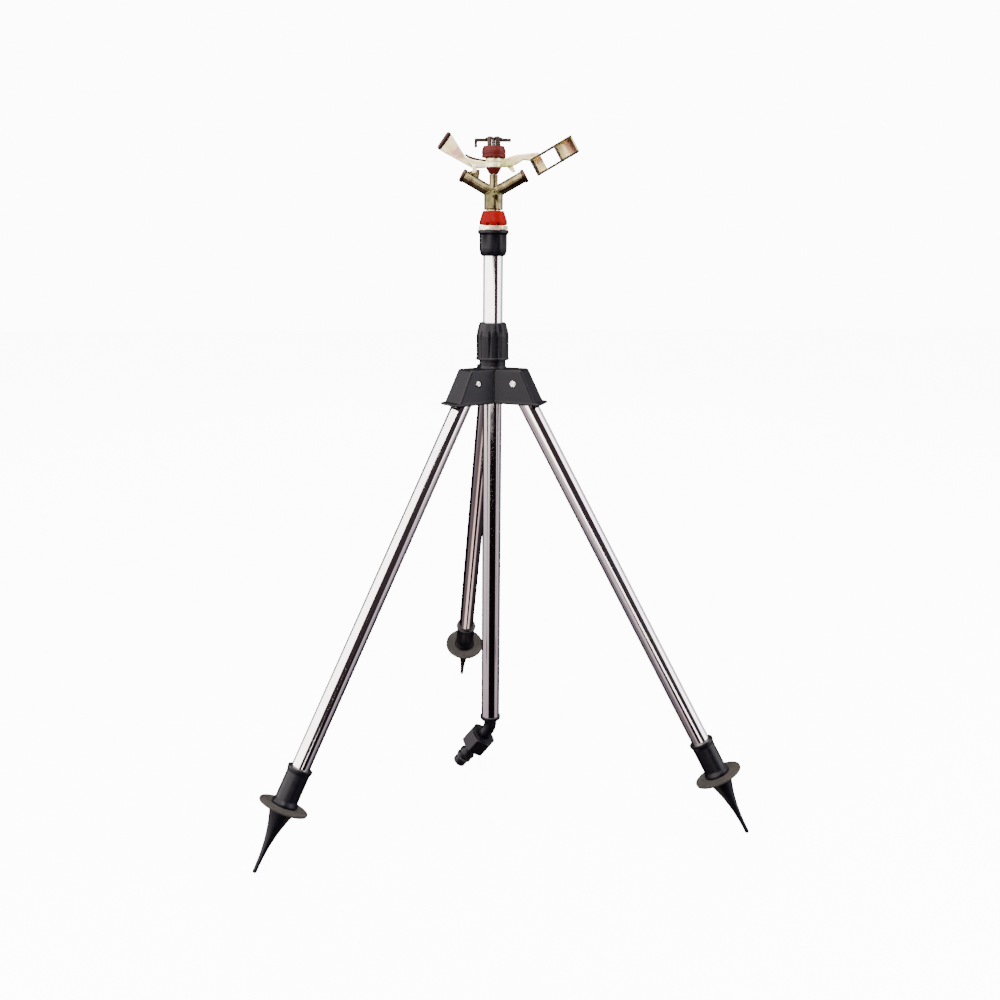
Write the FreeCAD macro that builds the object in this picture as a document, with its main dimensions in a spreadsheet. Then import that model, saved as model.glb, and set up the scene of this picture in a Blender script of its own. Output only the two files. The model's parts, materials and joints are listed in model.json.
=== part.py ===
"""Impact sprinkler on a folding tripod, as a parametric FreeCAD document (millimetres).

Z points up, the spike tips stand at Z = 0 and the riser pipe runs along the Z axis.
The rear leg lies over +Y, the two front legs at 210 and 330 degrees.  The sprinkler head
sits on top of the riser and is turned a few degrees about Z, as head_heading says.
"""
import FreeCAD
import Part
import math
import os
import re
import Sketcher
from FreeCAD import Placement, Rotation, Vector

SIZES = {
    # riser pipe
    "riser_radius": 9.5,
    "riser_bottom": 73.0,
    "riser_top": 564.0,
    "tube_wall": 1.0,
    "slide_gap": 0.3,
    # tripod hub: three lobes round the riser
    "hub_bottom": 416.5,
    "hub_top": 448.7,
    "hub_reach_top": 33.5,
    "hub_reach_bottom": 50.0,
    "hub_half_top": 11.2,
    "hub_half_bottom": 13.0,
    "hub_wall": 1.8,
    "hub_roof": 4.4,
    "lip_reach": 3.4,
    "lip_height": 2.4,
    "pocket_inner": 14.0,
    "pocket_half": 9.3,
    "neck_radius": 12.9,
    "neck_top": 455.3,
    "thread_radius": 12.3,
    "thread_top": 478.0,
    # clamp nut and collet
    "nut_radius": 16.2,
    "nut_crown_radius": 12.4,
    "nut_bottom": 455.7,
    "nut_shoulder": 480.5,
    "nut_top": 491.6,
    "nut_mouth": 10.3,
    "nut_grooves": 12,
    "collet_slots": 4,
    "collet_slot_height": 20.0,
    "groove_radius": 1.5,
    "collet_bottom": 463.0,
    "collet_top": 488.0,
    "collet_radius": 11.0,
    "collet_slot": 1.6,
    # leg pivots
    "pivot_radius": 25.8,
    "pivot_height": 434.5,
    "bolt_radius": 2.0,
    "bolt_half": 10.7,
    "bolt_head_radius": 2.9,
    "bolt_head_height": 1.5,
    "recess_radius": 3.6,
    "pivot_nut_flats": 5.6,
    "pivot_nut_height": 1.3,
    # legs, measured down from the pivot along the leg
    "leg_splay": 30.0,
    "leg_length": 501.5,
    "leg_radius": 9.0,
    "eye_radius": 8.0,
    "eye_half": 9.1,
    "leg_start": 14.0,
    "plug_length": 22.0,
    "spike_length": 67.0,
    "socket_length": 37.0,
    "socket_radius": 11.1,
    "mouth_radius": 12.2,
    "shoulder_radius": 12.6,
    "spike_radius": 10.9,
    "flare_radius": 13.4,
    "spike_tip_radius": 2.2,
    "disc_radius": 24.2,
    "disc_thickness": 3.0,
    # elbow and hose adapter, measured out from the bend along the outlet
    "elbow_height": 62.0,
    "elbow_drop": 53.0,
    "elbow_heading": 150.0,
    "elbow_radius": 6.7,
    "elbow_bore": 4.8,
    "cup_lip_radius": 10.7,
    "cup_depth": 3.5,
    "insert_length": 16.0,
    "spigot_radius": 8.3,
    "spigot_start": 14.0,
    "spigot_end": 22.0,
    "adapter_nut_start": 12.5,
    "adapter_nut_end": 33.0,
    "adapter_nut_flats": 27.0,
    "washer_thickness": 2.0,
    "nose_bore": 4.75,
    "nose_waist": 6.5,
    "nose_collar": 8.6,
    "nose_body": 7.9,
    "nose_land": 7.1,
    "nose_groove": 6.0,
    "nose_end": 61.0,
    # top cup and inlet base
    "top_cup_bottom": 554.0,
    "top_cup_top": 578.0,
    "top_cup_radius": 13.35,
    "top_cup_flange": 14.7,
    "socket_thread": 10.45,
    "hex_flats": 25.2,
    "hex_top": 582.0,
    "bearing_radius": 6.0,
    "bearing_bore": 4.6,
    "bearing_gap": 0.1,
    "flange_radius": 8.4,
    # rotor
    "head_heading": -8.14,
    "collar_bottom": 582.4,
    "collar_top": 597.0,
    "collar_radius": 13.2,
    "collar_neck": 9.9,
    "collar_notches": 8,
    "notch_radius": 1.6,
    "rotor_radius": 8.95,
    "rotor_bottom": 596.2,
    "rotor_top": 612.0,
    "barrel_radius": 5.35,
    "barrel_bore": 4.3,
    "barrel_rise": 29.0,
    "barrel_height": 611.0,
    "barrel_length": 31.0,
    "nozzle_rim": 6.35,
    "nozzle_end": 34.4,
    "nozzle_seat": 18.0,
    "front_orifice": 2.1,
    "rear_orifice": 1.6,
    "post_radius": 4.0,
    "post_top": 628.2,
    "boss_set_off": 0.6,
    "stop_thickness": 2.6,
    # pivot shaft, bush, arm hub
    "shaft_radius": 1.6,
    "shaft_bottom": 616.0,
    "shaft_top": 659.8,
    "lock_nut_flats": 8.6,
    "bush_bottom": 628.5,
    "bush_radius": 7.0,
    "arm_bottom": 634.2,
    "arm_top": 642.6,
    "arm_hub_radius": 7.7,
    "sleeve_radius": 3.0,
    "running_gap": 0.06,
    # spring cap and crown
    "cap_bottom": 643.1,
    "cap_top": 653.2,
    "cap_radius": 11.2,
    "cap_wall": 1.5,
    "crown_bottom": 658.7,
    "crown_top": 660.5,
    "crown_radius": 8.3,
    "finger_half": 1.9,
    "finger_thickness": 2.4,
    "finger_root": 6.0,
    "straight_reach": 16.0,
    "hooked_reach": 18.0,
    "hook_thickness": 2.2,
    "hook_drop": 5.4,
    "peak_height": 2.6,
    "peak_length": 3.2,
    "peak_leg": 2.0,
    # drive arm frame, in its own slope
    "frame_x": 41.6,
    "frame_z": 627.1,
    "frame_slope": 30.0,
    "frame_length": 43.5,
    "frame_width": 16.3,
    "frame_half": 6.5,
    "frame_skin": 1.5,
    "window_start": 11.0,
    "window_end": 25.2,
    "arm_half": 3.0,
    "bridge_length": 3.0,
    "web_thickness": 2.0,
    "finger_set_off": 2.9,
    "stop_finger_width": 3.0,
    "paddle_half": 1.2,
    "paddle_lip": 2.5,
}

LEGS = {"left": 210.0, "right": 330.0, "rear": 90.0}

# corners (x, z) of the plates that the head's castings are drawn from
OUTLINES = {
    "arm_stop": [("-24.4", "630.2"), ("-13.2", "632.2"), ("-14.6", "622"), ("-22", "624")],
    "drive_rib": [
        ("5", "arm_bottom + 0.3"), ("5", "arm_top"), ("11.8", "arm_top"), ("19.3", "arm_top + 2.9"),
        ("41.1", "arm_top + 5.4"), ("43.5", "645.7"), ("34", "640.4"), ("27.8", "641.2"),
        ("20.4", "636.7"), ("14", "arm_bottom + 0.6")],
    "drive_strut": [
        ("11", "640"), ("17.6", "637"), ("20.6", "630.3"), ("17.8", "630.1"), ("13.2", "634")],
    "paddle": [
        ("-6", "arm_bottom + 0.2"), ("-18.8", "633"), ("-50.1", "649"), ("-39.3", "663.5"),
        ("-26.3", "643.4"), ("-17.9", "640.8"), ("-6", "639.4")],
    "paddle_root": [
        ("-5", "arm_bottom + 0.2"), ("-17", "633.2"), ("-24", "638"), ("-26.3", "643.4"),
        ("-17.9", "640.8"), ("-5", "639.4")],
    "stop_finger": [("-20", "629"), ("-16", "629"), ("-16", "636"), ("-20", "636")],
}
PADDLE_LIP = (("-51.6", "650"), ("-40.8", "665"))
PEAK_HEADINGS = (60, 120, 240, 300)
UP = Vector(0, 0, 1)

doc = FreeCAD.newDocument("TripodSprinkler")
sheet = doc.addObject("Spreadsheet::Sheet", "Sizes")
for row, (alias, size) in enumerate(SIZES.items(), start=1):
    sheet.set(f"A{row}", alias)
    sheet.set(f"B{row}", str(size))
    sheet.setAlias(f"B{row}", alias)
doc.recompute()

nodes = []


# ---------------------------------------------------------------- helpers

def bind(text):
    """Write every size named in an expression as a cell of the sheet."""
    return re.sub(r"[a-z_]+", lambda word: "Sizes." + word[0] if word[0] in SIZES else word[0], text)


def number(text):
    """Value of a size expression."""
    return float(sheet.evalExpression(bind(text)))


def bound(thing, **sizes):
    """Bind properties of a document object to size expressions."""
    for name, text in sizes.items():
        thing.setExpression(name, bind(text))
    return thing


def keep(thing, label, place=None):
    """Name a finished sub-part, place it and list it for export."""
    thing.Label = label
    if place is not None:
        thing.Placement = place
    nodes.append(thing)
    return thing


def plane(body, role):
    """Origin plane of a body, by its role."""
    return next(item for item in body.Origin.OriginFeatures if item.Role == role)


def outline_sketch(body, role, outline, name):
    """Closed polygon sketch whose corners are bound to pairs of size expressions."""
    sketch = body.newObject("Sketcher::SketchObject", name)
    sketch.AttachmentSupport = [(plane(body, role), "")]
    sketch.MapMode = "FlatFace"
    corners = [Vector(number(across), number(up), 0) for across, up in outline]
    for index, corner in enumerate(corners):
        following = corners[(index + 1) % len(corners)]
        sketch.addGeometry(Part.LineSegment(corner, following))
    for index in range(len(corners)):
        following = (index + 1) % len(corners)
        sketch.addConstraint(Sketcher.Constraint("Coincident", index, 2, following, 1))
    for index, (across, up) in enumerate(outline):
        for kind, text in (("DistanceX", across), ("DistanceY", up)):
            value = number(text)
            constraint = sketch.addConstraint(Sketcher.Constraint(kind, -1, 1, index, 1, value))
            sketch.setExpression(f"Constraints[{constraint}]", bind(text))
    return sketch


def turned(name, outline):
    """Body of revolution about Z from an outline of (radius, height) expressions."""
    body = doc.addObject("PartDesign::Body", name)
    sketch = outline_sketch(body, "XZ_Plane", outline, name + "_outline")
    turn = body.newObject("PartDesign::Revolution", name + "_turn")
    turn.Profile = sketch
    turn.ReferenceAxis = (sketch, ["V_Axis"])
    turn.Angle = 360
    return body


def plate(name, outline, thickness):
    """Body padded evenly to both sides of the XZ plane from an (x, z) outline."""
    body = doc.addObject("PartDesign::Body", name)
    add_plate(body, name, outline, thickness)
    return body


def add_plate(body, name, outline, thickness):
    """One more pad, even about the XZ plane, on a body."""
    pad = body.newObject("PartDesign::Pad", name + "_pad")
    pad.Profile = outline_sketch(body, "XZ_Plane", outline, name + "_outline")
    pad.Midplane = True
    pad.setExpression("Length", bind(thickness))
    return pad


def washer_outline(inner, outer, low, high):
    """Rectangle outline of a plain ring."""
    return [(inner, low), (outer, low), (outer, high), (inner, high)]


def cylinder(name, radius, height, place=None):
    """Part cylinder bound to two size expressions."""
    item = bound(doc.addObject("Part::Cylinder", name), Radius=radius, Height=height)
    item.Placement = place or Placement()
    return item


def block(name, length, width, height, place):
    """Part box, even about the local XZ plane, bound to three size expressions."""
    item = bound(doc.addObject("Part::Box", name), Length=length, Width=width, Height=height)
    item.Placement = place.multiply(Placement(Vector(0, -number(width) / 2, 0), Rotation()))
    return item


def fused(name, pieces):
    """Fusion of several objects."""
    item = doc.addObject("Part::MultiFuse", name)
    item.Shapes = pieces
    item.Refine = True
    return item


def cut(name, base, tools):
    """One object less several others."""
    item = doc.addObject("Part::Cut", name)
    item.Base = base
    item.Tool = tools[0] if len(tools) == 1 else fused(name + "_tools", tools)
    return item


def at(x, y, z, rotation=None):
    """Placement at a point."""
    return Placement(Vector(x, y, z), rotation or Rotation())


def polar(radius, azimuth, height=0.0):
    """Point at a radius and an azimuth in degrees."""
    angle = math.radians(azimuth)
    return Vector(radius * math.cos(angle), radius * math.sin(angle), height)


def hexagon(name, flats, low, high):
    """Hexagonal prism about Z."""
    item = doc.addObject("Part::Prism", name)
    item.Polygon = 6
    bound(item, Circumradius=f"({flats}) / sqrt(3)", Height=f"({high}) - ({low})")
    item.Placement = at(0, 0, number(low))
    return item


def coil(label, radius, wire, low, high, turns, place):
    """Helical spring as one solid through hexagonal sections, a few to each turn."""
    steps = 14
    count = round(turns * steps)
    sections = []
    for index in range(count + 1):
        azimuth = index * 360 / steps
        level = number(low) + (number(high) - number(low)) * index / count
        corners = []
        for side in range(7):
            around = math.radians(60 * side)
            corners.append(polar(number(radius) + wire * math.cos(around), azimuth,
                                 level + wire * math.sin(around)))
        sections.append(Part.makePolygon(corners))
    spring = doc.addObject("Part::Feature", label)
    spring.Shape = Part.makeLoft(sections, True, True)
    return keep(spring, label, place)


HEADING = number("head_heading")
head_place = Placement(Vector(), Rotation(UP, HEADING))


# ---------------------------------------------------------------- tripod hub

def lobed_outline(reach, half):
    """Y-shaped outline: three lobes of one reach and half width, with creases between."""
    outline = []
    for azimuth in (0, 120, 240):
        for side in (-1, 1):
            x = f"({reach}) * cos({azimuth}) - {side} * ({half}) * sin({azimuth})"
            y = f"({reach}) * sin({azimuth}) + {side} * ({half}) * cos({azimuth})"
            outline.append((x, y))
        crease = f"({half}) / cos(30)"
        outline.append((f"{crease} * cos({azimuth + 60})", f"{crease} * sin({azimuth + 60})"))
    return outline


def lobed_sketch(body, name, reach, half, height):
    """Y-shaped sketch at a height above the XY plane."""
    sketch = outline_sketch(body, "XY_Plane", lobed_outline(reach, half), name)
    sketch.setExpression("AttachmentOffset.Base.z", bind(height))
    return sketch


def tripod_hub():
    """Three-lobed hollow hub with a leg pocket in each lobe and a threaded neck."""
    body = doc.addObject("PartDesign::Body", "hub_body")
    low = lobed_sketch(body, "hub_low", "hub_reach_bottom", "hub_half_bottom", "hub_bottom")
    high = lobed_sketch(body, "hub_high", "hub_reach_top", "hub_half_top", "hub_top")
    loft = body.newObject("PartDesign::AdditiveLoft", "hub_loft")
    loft.Profile = low
    loft.Sections = [high]
    loft.Ruled = True
    lip = body.newObject("PartDesign::Pad", "hub_lip")
    lip.Profile = lobed_sketch(body, "lip_outline", "hub_reach_bottom + lip_reach",
                               "hub_half_bottom + 0.8", "hub_bottom - lip_height / 2")
    lip.setExpression("Length", bind("lip_height"))
    pocket = body.newObject("PartDesign::Pocket", "leg_pocket")
    outer = "hub_reach_bottom - hub_wall"
    pocket.Profile = outline_sketch(body, "XZ_Plane", [
        ("pocket_inner", "hub_bottom - lip_height"),
        (outer, "hub_bottom - lip_height"),
        (outer, "hub_bottom + 1"),
        ("hub_reach_top - hub_wall + 1", "hub_top - hub_roof"),
        ("pocket_inner", "hub_top - hub_roof")], "pocket_outline")
    pocket.Midplane = True
    pocket.setExpression("Length", bind("2 * pocket_half"))
    lobes = body.newObject("PartDesign::PolarPattern", "leg_pockets")
    lobes.Originals = [pocket]
    lobes.Axis = (next(f for f in body.Origin.OriginFeatures if f.Role == "Z_Axis"), [""])
    lobes.Angle = 360
    lobes.Occurrences = 3
    body.Tip = lobes
    turn = Placement(Vector(), Rotation(UP, LEGS["rear"]))
    body.Placement = turn
    neck = turned("hub_neck", [
        ("riser_radius + slide_gap", "hub_bottom - 2"),
        ("pocket_inner", "hub_bottom - 2"),
        ("pocket_inner", "hub_top - 1"),
        ("neck_radius", "hub_top - 1"),
        ("neck_radius", "neck_top"),
        ("thread_radius", "neck_top"),
        ("thread_radius", "thread_top"),
        ("riser_radius + slide_gap", "thread_top")])
    tools = [
        cylinder("hub_bore", "riser_radius + slide_gap", "neck_top - hub_bottom + 10",
                 at(0, 0, number("hub_bottom") - 5)),
        cylinder("collet_seat", "collet_radius", "thread_top - collet_bottom + 1",
                 at(0, 0, number("collet_bottom")))]
    for side, azimuth in LEGS.items():
        place = pivot_place(azimuth)
        tools.append(cylinder(f"bolt_hole_{side}", "bolt_radius", "4 * bolt_half",
                              place.multiply(at(0, 0, -2 * number("bolt_half")))))
        for end, turned_over in (("head", 0), ("nut", 180)):
            deep = at(0, 0, number("bolt_half"))
            over = Placement(Vector(), Rotation(Vector(1, 0, 0), turned_over))
            tools.append(cylinder(f"{end}_recess_{side}", "recess_radius", "bolt_half",
                                  place.multiply(over).multiply(deep)))
    keep(cut("hub", fused("hub_blank", [body, neck]), tools), "tripod_hub")


def pivot_place(azimuth):
    """Placement at a leg pivot with Z along the bolt."""
    along = polar(1, azimuth + 90)
    centre = polar(number("pivot_radius"), azimuth, number("pivot_height"))
    return Placement(centre, Rotation(UP, along))


def pivot_fasteners(side, azimuth):
    """Bolt through the hub lobe and the leg eye, and the nut on its far end."""
    place = pivot_place(azimuth)
    bolt = turned(f"bolt_{side}", [
        ("0", "-bolt_half - pivot_nut_height"), ("bolt_radius", "-bolt_half - pivot_nut_height"),
        ("bolt_radius", "bolt_half"), ("bolt_head_radius", "bolt_half"),
        ("bolt_head_radius", "bolt_half + 0.9"),
        ("bolt_head_radius - 0.8", "bolt_half + bolt_head_height"),
        ("0", "bolt_half + bolt_head_height")])
    keep(bolt, f"pivot_bolt_{side}", place)
    over = Placement(Vector(), Rotation(Vector(1, 0, 0), 180))
    blank = hexagon(f"nut_blank_{side}", "pivot_nut_flats", "bolt_half", "bolt_half + pivot_nut_height")
    hole = cylinder(f"nut_hole_{side}", "bolt_radius", "2 * bolt_half")
    keep(cut(f"nut_{side}", blank, [hole]), f"pivot_nut_{side}", place.multiply(over))


def clamp_collet():
    """Slotted tapered ring that the clamp nut squeezes on the riser."""
    ring = turned("collet_ring", [
        ("riser_radius + 0.05", "collet_bottom"), ("collet_radius", "collet_bottom"),
        ("collet_radius", "thread_top + 1"), ("collet_radius - 0.6", "collet_top"),
        ("riser_radius + 0.05", "collet_top")])
    slots = []
    count = int(number("collet_slots"))
    for index in range(count):
        place = Placement(Vector(), Rotation(UP, (index + 0.5) * 360 / count))
        slots.append(block(f"collet_slot_{index}", "2 * collet_radius", "collet_slot",
                           "collet_slot_height", place.multiply(at(0, 0, number("collet_bottom + 8")))))
    keep(cut("collet", ring, slots), "clamp_collet")


def clamp_nut():
    """Grooved nut with a tapered crown round the hub's thread."""
    body = turned("clamp_nut_body", [
        ("thread_radius + slide_gap", "nut_bottom"),
        ("nut_radius", "nut_bottom"),
        ("nut_radius", "nut_shoulder - 1"),
        ("nut_radius - 1.1", "nut_shoulder + 3"),
        ("nut_crown_radius + 0.5", "nut_top - 1"),
        ("nut_crown_radius", "nut_top"),
        ("nut_mouth", "nut_top"),
        ("nut_mouth", "nut_top - 2.4"),
        ("collet_radius + 0.7", "thread_top + 1.5"),
        ("thread_radius + slide_gap", "thread_top + 1.5")])
    grooves = []
    count = int(number("nut_grooves"))
    for index in range(count):
        azimuth = (index + 0.5) * 360 / count
        centre = polar(number("nut_radius + 0.5"), azimuth, number("nut_bottom + 2.2"))
        grooves.append(cylinder(f"nut_groove_{index}", "groove_radius", "nut_shoulder - nut_bottom",
                                Placement(centre, Rotation())))
    keep(cut("grooved_nut", body, grooves), "clamp_nut")


# ---------------------------------------------------------------- legs

def leg(side, azimuth):
    """Leg of four pieces, drawn down the local -Z axis from its pivot."""
    centre = polar(number("pivot_radius"), azimuth, number("pivot_height"))
    lean = Rotation(Vector(0, 1, 0), -number("leg_splay"))
    place = Placement(centre, Rotation(UP, azimuth).multiply(lean))
    disc_top = "-(leg_length - spike_length)"
    socket_floor = f"{disc_top} + 3"
    keep(turned(f"tube_{side}", washer_outline(
        "leg_radius - tube_wall", "leg_radius", socket_floor, "-leg_start")), f"leg_tube_{side}", place)
    leg_eye(side, place)
    spike = [(f"spike_tip_radius + (flare_radius - spike_tip_radius) * {(1 - part) ** 2.3:.4f}",
              f"{disc_top} - disc_thickness - (spike_length - disc_thickness - 2) * {part}")
             for part in (0, 0.08, 0.18, 0.32, 0.5, 0.75, 1)]
    socket = turned(f"socket_{side}", [
        ("leg_radius", socket_floor), ("leg_radius", f"{disc_top} + socket_length"),
        ("mouth_radius", f"{disc_top} + socket_length"),
        ("mouth_radius", f"{disc_top} + socket_length - 2"),
        ("socket_radius", f"{disc_top} + socket_length - 5"), ("socket_radius", f"{disc_top} + 6"),
        ("shoulder_radius", f"{disc_top} + 2"), ("shoulder_radius", disc_top),
        ("spike_radius", disc_top), ("spike_radius", f"{disc_top} - disc_thickness")] + spike + [
        ("spike_tip_radius * 0.6", "-leg_length + 0.5"), ("0", "-leg_length"), ("0", socket_floor)])
    keep(socket, f"foot_spike_{side}", place)
    disc = turned(f"disc_{side}", [
        ("spike_radius", f"{disc_top} - disc_thickness"),
        ("disc_radius - 1", f"{disc_top} - disc_thickness"),
        ("disc_radius", f"{disc_top} - disc_thickness + 0.9"), ("disc_radius", f"{disc_top} - 1.2"),
        ("disc_radius - 1", f"{disc_top} - 0.4"), ("spike_radius", disc_top)])
    keep(disc, f"ground_disc_{side}", place)


def leg_eye(side, place):
    """Plug in the tube's upper end with the pivot eye above it."""
    tongue = plate(f"tongue_{side}", [
        ("-eye_radius", "-leg_start"), ("eye_radius", "-leg_start"),
        ("eye_radius", "0"), ("-eye_radius", "0")], "2 * eye_half")
    lying = Rotation(Vector(1, 0, 0), 90)
    knuckle = cylinder(f"knuckle_{side}", "eye_radius", "2 * eye_half",
                       at(0, number("eye_half"), 0, lying))
    plug = cylinder(f"plug_{side}", "leg_radius - tube_wall", "plug_length",
                    at(0, 0, -number("leg_start + plug_length")))
    hole = cylinder(f"eye_hole_{side}", "bolt_radius + running_gap", "4 * eye_half",
                    at(0, 2 * number("eye_half"), 0, lying))
    keep(cut(f"eye_{side}", fused(f"eye_blank_{side}", [tongue, knuckle, plug]), [hole]),
         f"leg_eye_{side}", place)


# ---------------------------------------------------------------- riser and hose inlet

def outlet_place():
    """Placement at the elbow's bend with Z along the outlet."""
    drop = math.radians(number("elbow_drop"))
    out = polar(math.cos(drop), number("elbow_heading"), -math.sin(drop))
    return at(0, 0, number("elbow_height"), Rotation(UP, out))


def riser():
    """Straight pipe from the elbow to the top cup."""
    keep(turned("riser_pipe", washer_outline(
        "riser_radius - tube_wall", "riser_radius", "riser_bottom", "riser_top")), "riser_tube")


def elbow():
    """Cup and insert at the riser's foot, bend, threaded spigot and the insert's seal."""
    place = outlet_place()
    inside = "riser_radius - tube_wall"
    groove = "riser_radius - tube_wall - 2"
    cup = turned("elbow_cup", [
        ("0", "elbow_height"), ("elbow_radius", "elbow_height"), ("elbow_radius", "riser_bottom - 5"),
        ("cup_lip_radius", "riser_bottom - 1"), ("cup_lip_radius", "riser_bottom + cup_depth"),
        ("riser_radius", "riser_bottom + cup_depth"), ("riser_radius", "riser_bottom"),
        (inside, "riser_bottom"), (inside, "riser_bottom + 8"), (groove, "riser_bottom + 8"),
        (groove, "riser_bottom + 10.4"), (inside, "riser_bottom + 10.4"),
        (inside, "riser_bottom + insert_length"), ("0", "riser_bottom + insert_length")])
    bend = bound(doc.addObject("Part::Sphere", "elbow_ball"), Radius="elbow_radius")
    bend.Placement = at(0, 0, number("elbow_height"))
    spigot = turned("elbow_spigot", [
        ("0", "0"), ("elbow_radius", "0"), ("elbow_radius", "spigot_start"),
        ("spigot_radius", "spigot_start"), ("spigot_radius", "spigot_end"), ("0", "spigot_end")])
    spigot.Placement = place
    tools = [
        cylinder("elbow_bore_up", "elbow_bore", "riser_bottom + insert_length - elbow_height + 1",
                 at(0, 0, number("elbow_height"))),
        cylinder("elbow_bore_out", "elbow_bore", "spigot_end + 1", place)]
    ball = bound(doc.addObject("Part::Sphere", "elbow_bore_ball"), Radius="elbow_bore")
    ball.Placement = at(0, 0, number("elbow_height"))
    keep(cut("elbow", fused("elbow_blank", [cup, bend, spigot]), tools + [ball]), "inlet_elbow")
    ring = bound(doc.addObject("Part::Torus", "elbow_ring"), Radius1=groove + " + 1", Radius2="1")
    keep(ring, "elbow_seal", at(0, 0, number("riser_bottom + 9.2")))


def hose_adapter():
    """Union nut, sealing washer, click-on nose and its seal ring."""
    place = outlet_place()
    blank = turned("adapter_blank", [
        ("spigot_radius", "adapter_nut_start + 1.5"), ("spigot_radius", "adapter_nut_start + 1.4"),
        ("adapter_nut_flats / 2 - 2", "adapter_nut_start"),
        ("adapter_nut_flats / 2 + 1.6", "adapter_nut_start + 5"),
        ("adapter_nut_flats / 2 + 1.6", "adapter_nut_end - 5"),
        ("adapter_nut_flats / 2 - 1.5", "adapter_nut_end"), ("nose_waist + 0.3", "adapter_nut_end"),
        ("nose_waist + 0.3", "spigot_end + 5"), ("spigot_radius", "spigot_end + 5")])
    prism = hexagon("adapter_prism", "adapter_nut_flats", "0", "adapter_nut_end + 5")
    faceted = doc.addObject("Part::Common", "adapter_faceted")
    faceted.Base = blank
    faceted.Tool = prism
    keep(faceted, "adapter_nut", place)
    keep(turned("adapter_washer_ring", washer_outline(
        "elbow_bore", "spigot_radius - 0.3", "spigot_end", "spigot_end + washer_thickness")),
        "adapter_washer", place)
    root = "spigot_end + washer_thickness"
    keep(turned("nose_body_turn", [
        ("nose_bore", root), ("spigot_radius - 0.3", root), ("spigot_radius - 0.3", "spigot_end + 4.9"),
        ("nose_waist", "spigot_end + 4.9"), ("nose_waist", "nose_end - 20"),
        ("nose_collar", "nose_end - 17"), ("nose_collar", "nose_end - 15.5"),
        ("nose_body", "nose_end - 14"), ("nose_body", "nose_end - 11"),
        ("nose_groove", "nose_end - 11"), ("nose_groove", "nose_end - 8.4"),
        ("nose_land", "nose_end - 8.4"), ("nose_land", "nose_end"), ("nose_bore", "nose_end")]),
        "hose_nose", place)
    ring = bound(doc.addObject("Part::Torus", "nose_ring"), Radius1="nose_groove + 1.25", Radius2="1.25")
    keep(ring, "nose_seal", place.multiply(at(0, 0, number("nose_end - 9.7"))))


def top_cup():
    """Cup that joins the riser to the head's threaded base, with its washer."""
    keep(turned("top_cup_turn", [
        ("riser_radius", "top_cup_bottom"), ("top_cup_radius - 2.8", "top_cup_bottom"),
        ("top_cup_radius - 1.4", "top_cup_bottom + 1.2"),
        ("top_cup_radius - 0.4", "top_cup_bottom + 3.6"),
        ("top_cup_radius", "top_cup_bottom + 7"), ("top_cup_radius", "top_cup_top - 4"),
        ("top_cup_flange", "top_cup_top - 2.8"), ("top_cup_flange", "top_cup_top"),
        ("socket_thread", "top_cup_top"), ("socket_thread", "riser_top + 2.5"),
        ("riser_radius - 2", "riser_top + 2.5"), ("riser_radius - 2", "riser_top"),
        ("riser_radius", "riser_top")]), "top_cup")
    keep(turned("cup_washer_ring", washer_outline(
        "riser_radius - 2", "socket_thread - 0.2", "riser_top + 2.5", "riser_top + 4.5")), "cup_washer")


# ---------------------------------------------------------------- swivel bearing

def inlet_base():
    """Threaded base with a hexagon, bored for the swivel tube."""
    thread = cylinder("base_thread", "socket_thread", "top_cup_top - riser_top - 4.5",
                      at(0, 0, number("riser_top + 4.5")))
    blank = fused("base_blank", [hexagon("base_hexagon", "hex_flats", "top_cup_top", "hex_top"), thread])
    tools = [
        cylinder("base_bore", "bearing_radius + bearing_gap", "30", at(0, 0, number("riser_top"))),
        cylinder("base_counterbore", "flange_radius + bearing_gap", "8", at(0, 0, number("riser_top")))]
    keep(cut("base", blank, tools), "inlet_base")
    keep(turned("bearing_washer_ring", washer_outline(
        "bearing_radius + bearing_gap", "flange_radius", "riser_top + 6.4", "riser_top + 8")),
        "bearing_washer")


def swivel_tube():
    """Hollow swivel tube, flanged below the base and screwed into the rotor."""
    keep(turned("swivel_turn", [
        ("bearing_bore", "riser_top + 4.8"), ("flange_radius", "riser_top + 4.8"),
        ("flange_radius", "riser_top + 6.3"), ("bearing_radius", "riser_top + 6.3"),
        ("bearing_radius", "rotor_bottom + 6"), ("bearing_bore", "rotor_bottom + 6")]),
        "swivel_tube", head_place)
    ring = turned("thrust_ring", washer_outline(
        "bearing_radius", "flange_radius", "hex_top + 0.2", "hex_top + 1.4"))
    keep(ring, "thrust_washer", head_place)
    coil("bearing_spring", "bearing_radius + 1.2", 0.6, "hex_top + 2.1", "rotor_bottom - 1.0", 4.5,
         head_place)


def sand_collar():
    """Flared skirt over the swivel bearing, with notches in its lower edge."""
    skirt = turned("collar_skirt", [
        ("bearing_radius + 3", "collar_bottom"), ("collar_radius - 0.5", "collar_bottom"),
        ("collar_radius", "collar_bottom + 3.4"), ("collar_neck + 0.6", "collar_top - 2.4"),
        ("collar_neck", "collar_top - 1.2"), ("collar_neck", "rotor_bottom"),
        ("bearing_radius", "rotor_bottom"), ("bearing_radius", "rotor_bottom - 0.3"),
        ("bearing_radius + 3", "rotor_bottom - 0.3")])
    notches = []
    count = int(number("collar_notches"))
    for index in range(count):
        centre = polar(number("collar_radius"), (index + 0.5) * 360 / count, number("collar_bottom - 0.1"))
        notches.append(cylinder(f"collar_notch_{index}", "notch_radius", "2 * notch_radius",
                                Placement(centre, Rotation())))
    keep(cut("collar", skirt, notches), "sand_collar", head_place)


# ---------------------------------------------------------------- rotor and barrels

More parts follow.
